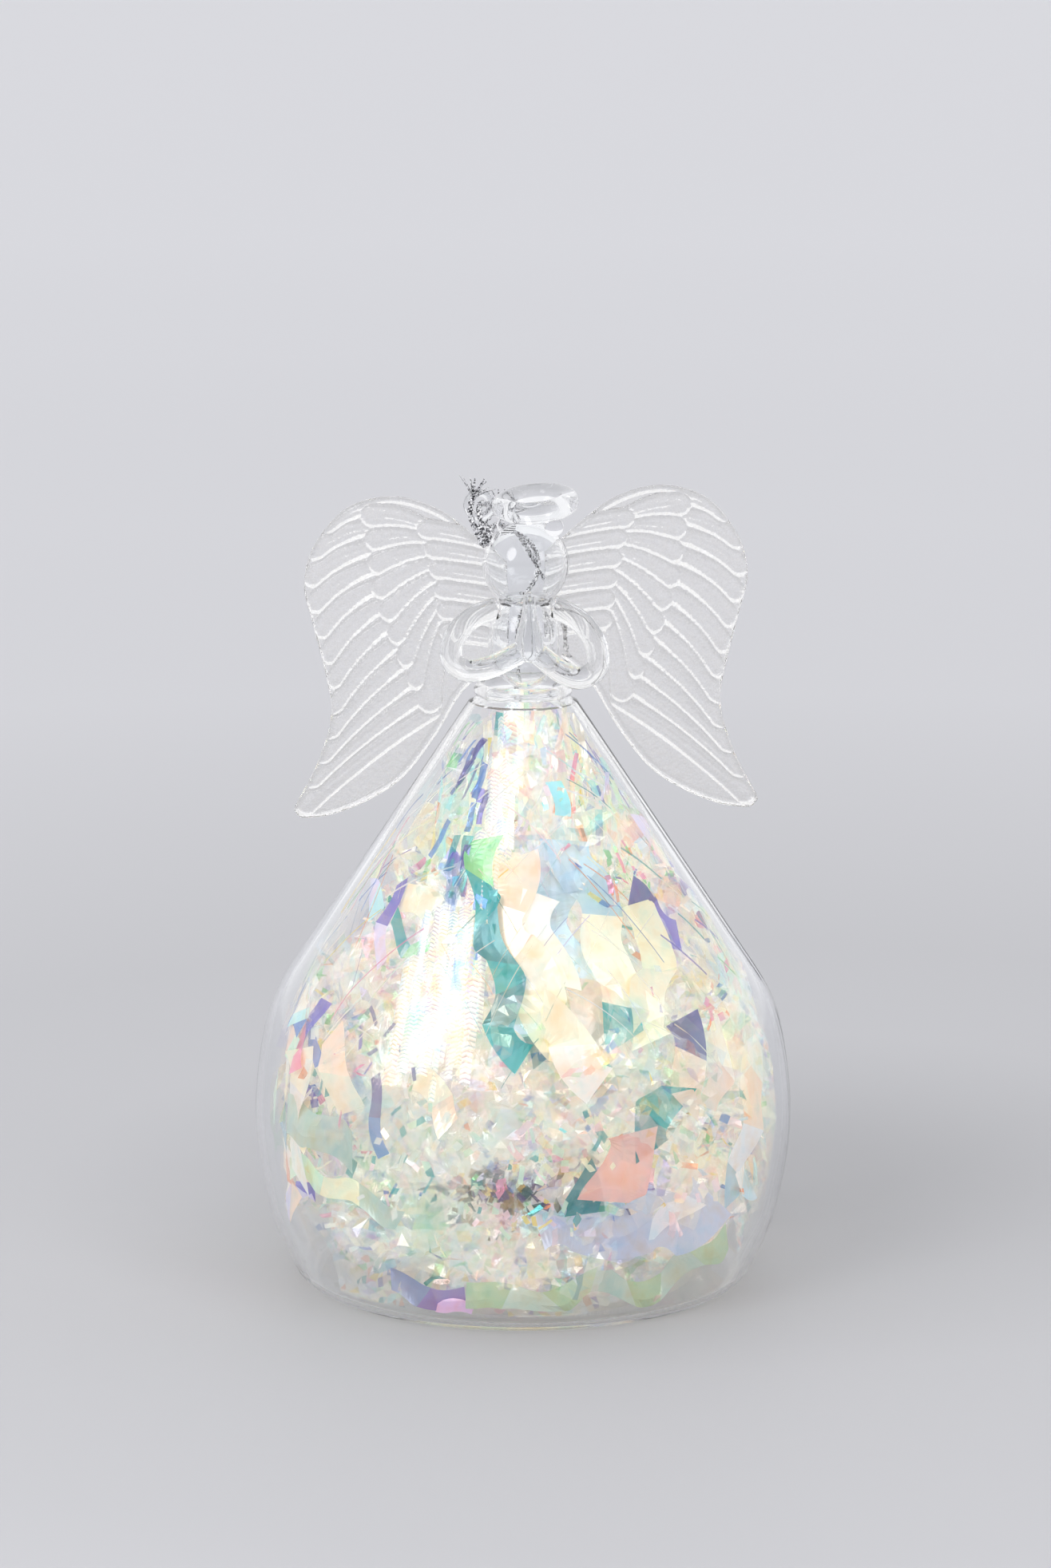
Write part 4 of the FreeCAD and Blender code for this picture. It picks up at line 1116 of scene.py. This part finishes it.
def creased_sides(draw, joints, twist, slants):
    """Way across a strip at each joint, along the wall; the slants make its creases zigzag."""
    acrosses = []
    for index, joint in enumerate(joints):
        along = joints[min(index + 1, len(joints) - 1)] - joints[max(index - 1, 0)]
        along.normalize()
        side = along.cross(outward_at(joint, 8.0)).normalized()
        side = Matrix.Rotation(draw.uniform(-twist, twist), 3, along) @ side
        acrosses.append(side + along * draw.uniform(*slants) * (-1) ** index)
    return acrosses


def side_strips(film, draw):
    """Strips like the front ones along the bell's sides and back."""
    for _ in range(SIDE_STRIPS):
        angle = draw.uniform(*SIDE_SECTOR)
        z = draw.uniform(8, 78)
        inset = draw.uniform(1.5, 4.2)
        drift = draw.uniform(-0.12, 0.12)
        steep = draw.choice((1.0, 1.0, 0.25)) if z > 24 else 0.2
        panels = draw.randint(2, 5)
        joints = []
        for _ in range(panels + 1):
            reach = table_value(INNER_WALL, max(3.0, z)) - inset
            joints.append(round_place(angle, reach, z))
            step = draw.uniform(4.0, 8.0)
            z = max(4.0, z - step * steep)
            angle += drift + step * (1.0 - steep) / max(8.0, reach) + draw.uniform(-0.07, 0.07)
            angle = min(SIDE_SECTOR[1], max(SIDE_SECTOR[0], angle))
            inset = min(4.5, max(1.5, inset + draw.uniform(-0.8, 0.8)))
        strip(film, joints, creased_sides(draw, joints, 0.3, (0.1, 0.45)), draw.uniform(4.0, 7.6),
              [draw.choice(SIDE_SHADES) for _ in range(panels)], draw.uniform(0, 16), wave=1.1,
              curl=draw.uniform(-0.4, 0.4))


def front_strips(film, draw):
    """The large strips that show at the front, and the ones that go on round the bell."""
    for places, inset, width, slant, colours in FRONT_STRIPS:
        joints = [wall_place(x, z, inset + draw.uniform(-0.4, 0.8)) for x, z in places]
        strip(film, joints, creased_sides(draw, joints, 0.25, (slant * 0.5, slant * 1.3)), width,
              colours, draw.uniform(0, 16), wave=1.1, curl=draw.uniform(-0.3, 0.3))
    side_strips(film, draw)


WALL_SHEETS = 46


def wall_film(film, draw):
    """Wide sheets that cling to the bell's wall all the way round."""
    for _ in range(WALL_SHEETS):
        angle = draw.uniform(0, 2 * pi)
        top = draw.uniform(22, 95)
        length = min(draw.uniform(20, 40), top - 5.0)
        share = draw.uniform(0.3, 0.7)
        inset = draw.uniform(1.2, 3.0)
        lean = draw.uniform(-0.012, 0.012)
        phase = draw.uniform(0, 6.3)
        rows = []
        count = round(length / 2)
        for row in range(count + 1):
            z = top - 2.0 * row
            reach = table_value(INNER_WALL, z)
            half = share * (0.5 + 0.12 * sin(0.35 * z + phase))
            line = []
            for column in range(9):
                turn = angle + lean * (top - z) + half * (column / 4 - 1)
                away = reach - inset - 0.5 * sin(0.9 * column + 0.5 * row + phase)
                line.append(round_place(turn, away, z))
            rows.append(line)
        film.grid(rows, facet_colours(draw, 1, 0.0) * (count + 1))


SLIVER_PLACES = [
    # x, z, spread of x and z, number, width range, length range, colours
    (-6.8, 87, 1.2, 6, 14, (0.6, 1.3), (2.5, 7.0), (VIOLET, NAVY, AZURE, NAVY)),
    (-10.5, 74, 2.0, 5, 12, (1.0, 2.2), (3.0, 8.0), (AZURE, VIOLET, TEAL, NAVY)),
    (-6, 66, 1.6, 6, 9, (1.2, 2.4), (2.0, 5.0), (TEAL, DARK_TEAL, AZURE, BRIGHT_AQUA)),
    (4, 88, 3.0, 6, 8, (0.5, 1.2), (1.0, 3.0), (PINK, BRIGHT_AQUA, LEMON)),
    (-21, 46, 5.0, 6, 10, (0.5, 1.2), (1.5, 4.0), (NAVY, TEAL, VIOLET, CREAM)),
    (-31, 40, 3.0, 6, 12, (0.6, 1.6), (1.5, 5.0), (ROSE, NAVY, CREAM, TEAL, ORANGE)),
    (17, 72, 4.5, 3, 24, (0.3, 1.0), (1.0, 3.5), (ORANGE, ROSE, LEMON, PEACH, GREEN)),
    (30, 50, 4.0, 4, 16, (0.4, 1.3), (1.0, 3.5), (ROSE, PEACH, LEMON, ORANGE)),
    (-14, 33, 9.0, 5, 24, (0.4, 1.3), (0.8, 3.0), (TEAL, CREAM, MINT, PLAIN[0], PLAIN[1])),
    (6, 33, 9.0, 5, 24, (0.4, 1.3), (0.8, 3.0), (TEAL, CREAM, MINT, LEMON, PINK)),
    (-22, 25, 8.0, 5, 16, (0.4, 1.3), (0.8, 3.0), (AZURE, TEAL, CREAM, PINK, PLAIN[3])),
    (26, 22, 5.0, 4, 8, (0.8, 1.8), (1.5, 4.0), (PINK, PINK, PEACH)),
    (0, 21, 10.0, 4, 22, (0.4, 1.2), (0.8, 2.6), (YELLOW, CREAM, MINT, PINK, TEAL)),
]


def slivers(film, draw):
    """Short bright pieces that flash near the glass."""
    for x, z, spread_x, spread_z, count, widths, lengths, colours in SLIVER_PLACES:
        for _ in range(count):
            start = wall_place(x + draw.uniform(-spread_x, spread_x),
                               z + draw.uniform(-spread_z, spread_z), draw.uniform(1.4, 3.4))
            outward = outward_at(start, 10.0)
            steep = 0.12 if z > 60 else 1.4
            way = Vector((draw.uniform(-steep, steep), draw.uniform(-steep, steep), -1.0))
            way = (way - outward * way.dot(outward)).normalized()
            side = way.cross(outward).normalized()
            side = Matrix.Rotation(draw.uniform(-0.6, 0.6), 3, way) @ side
            length = draw.uniform(*lengths)
            width = draw.uniform(*widths)
            joints = [start, start + way * length * 0.5, start + way * length]
            slant = way * draw.uniform(-0.5, 0.5)
            first = draw.choice(colours)
            second = first if draw.random() < 0.6 else draw.choice(colours)
            strip(film, joints, [side + slant, side - slant, side + slant], width, [first, second],
                  draw.uniform(0, 6), wave=0.15, wave_length=6.0, curl=draw.uniform(-0.3, 0.3))


FIBRES = 260


def fibres(film, draw):
    """Hair-fine cuttings that curve along the wall of the cone and its shoulder."""
    for _ in range(FIBRES):
        angle = draw.uniform(0, 2 * pi)
        z = draw.uniform(48, 93)
        inset = draw.uniform(1.2, 3.0)
        fall = draw.uniform(0.3, 0.9)
        swing = draw.choice((-1, 1)) * draw.uniform(0.4, 1.0)
        half = draw.uniform(0.07, 0.16)
        rows = []
        for _ in range(draw.randint(8, 16)):
            reach = table_value(INNER_WALL, z) - inset
            centre = round_place(angle, reach, z)
            rows.append([centre - Vector((0, 0, half)), centre + Vector((0, 0, half))])
            z -= fall
            angle += swing / reach
            swing *= 0.97
            fall *= 1.04
        film.grid(rows, facet_colours(draw, 1, 0.3) * len(rows))


FILM_SETS = [
    # what lays the film, its seed, the piece's name and material, whether it is too clear to
    # throw a shadow, the CAD node that it replaces
    (random_ribbons, 7, "film_ribbons", RIBBON_FILM, True, ("film_heap",)),
    (random_shreds, 23, "film_shreds", SHRED_FILM, True, ("film_column",)),
    (crumpled_film, 41, "film_crumples", CRUMPLE_FILM, True, ()),
    (pleated_columns, 59, "film_pleats", PLEAT_FILM, True, ()),
    (front_strips, 3, "film_front_strips", FRONT_FILM, False, ("film_drape",)),
    (wall_film, 83, "film_wall_sheets", WALL_FILM, True, ()),
    (slivers, 97, "film_slivers", SLIVER_FILM, True, ()),
    (fibres, 131, "film_fibres", SLIVER_FILM, True, ()),
]
for lay, seed, name, material, clear, replaced in FILM_SETS:
    film = Film()
    lay(film, random.Random(seed))
    piece = film.piece(name, material)
    piece.visible_shadow = not clear
    settle(piece, "iridescent_film", *replaced)


# ---- light unit ---------------------------------------------------------------------------
WIRE_ROUTE = [
    (0.0, -10.2, 10.6), (-1.2, -10.8, 14.2), (-6.2, -12.4, 17.0), (-13.4, -12.8, 18.0),
    (-19.2, -15.2, 18.8), (-19.8, -20.6, 19.6), (-14.6, -23.6, 20.2), (-6.0, -22.8, 20.5),
    (3.6, -21.6, 21.4), (12.6, -21.6, 24.4), (22.0, -19.0, 27.6), (28.2, -11.0, 30.0),
    (29.0, 1.0, 32.2), (23.6, 12.8, 34.2), (13.0, 21.6, 36.4), (-1.0, 24.6, 38.2),
    (-14.0, 20.2, 41.0), (-22.0, 10.0, 43.4), (-22.8, -3.4, 46.0), (-15.6, -13.8, 49.2),
    (-3.4, -17.6, 52.0), (8.6, -14.6, 55.0), (15.0, -5.4, 58.0), (13.4, 5.6, 61.2),
    (4.6, 11.2, 64.6), (-4.8, 8.0, 68.2), (-7.4, -0.4, 72.0), (-2.6, -5.8, 76.0),
    (2.6, -3.0, 80.4),
]
WIRE_TURN, WIRE_RADIUS, WIRE_STEP = 3.4, 0.19, 0.3
# Height along a lamp chip and radius there.
LAMP_PROFILE = [(-0.7, 0.34), (-0.62, 0.42), (0.2, 0.42), (0.3, 0.36), (0.5, 0.28), (0.62, 0.1)]


def wire_pair():
    """Two enamelled wires twisted round each other."""
    even = spaced(route_spline("wire_line", WIRE_ROUTE), WIRE_STEP)
    verts, faces = [], []
    add_yarn(verts, faces, even, WIRE_RADIUS, WIRE_RADIUS, WIRE_TURN, corners=6)
    return mesh_piece("light_wire_pair", verts, faces, COPPER)


def loose_parts(mesh):
    """Middle and long axis of each separate patch of a mesh, in millimetres."""
    grid = bmesh.new()
    grid.from_mesh(mesh)
    waiting = set(grid.verts)
    parts = []
    for first in grid.verts:
        if first not in waiting:
            continue
        waiting.remove(first)
        group = [first]
        for vert in group:
            for edge in vert.link_edges:
                other = edge.other_vert(vert)
                if other in waiting:
                    waiting.remove(other)
                    group.append(other)
        places = np.array([vert.co[:] for vert in group]) / MM
        middle = (places.max(0) + places.min(0)) / 2
        far = places[np.argmax(np.linalg.norm(places - middle, axis=1))]
        parts.append((Vector(middle), Vector(far - middle).normalized()))
    grid.free()
    return sorted(parts, key=lambda part: part[0].z)


def bead_lamps():
    """Tiny yellow chips with domed tops in the drops of resin, one by each patch of a drop."""
    verts, faces = [], []
    for middle, axis in loose_parts(nodes["led_beads"].data):
        u = axis.orthogonal().normalized()
        centres = [middle + axis * height for height, _ in LAMP_PROFILE]
        add_tube(verts, faces, centres, [(u, axis.cross(u))] * len(centres),
                 [radius for _, radius in LAMP_PROFILE])
    return mesh_piece("bead_lamp_chips", verts, faces, LAMP, smooth=False)


settle(wire_pair(), "copper_wire", "light_wire")
settle(bead_lamps(), "clear_resin")
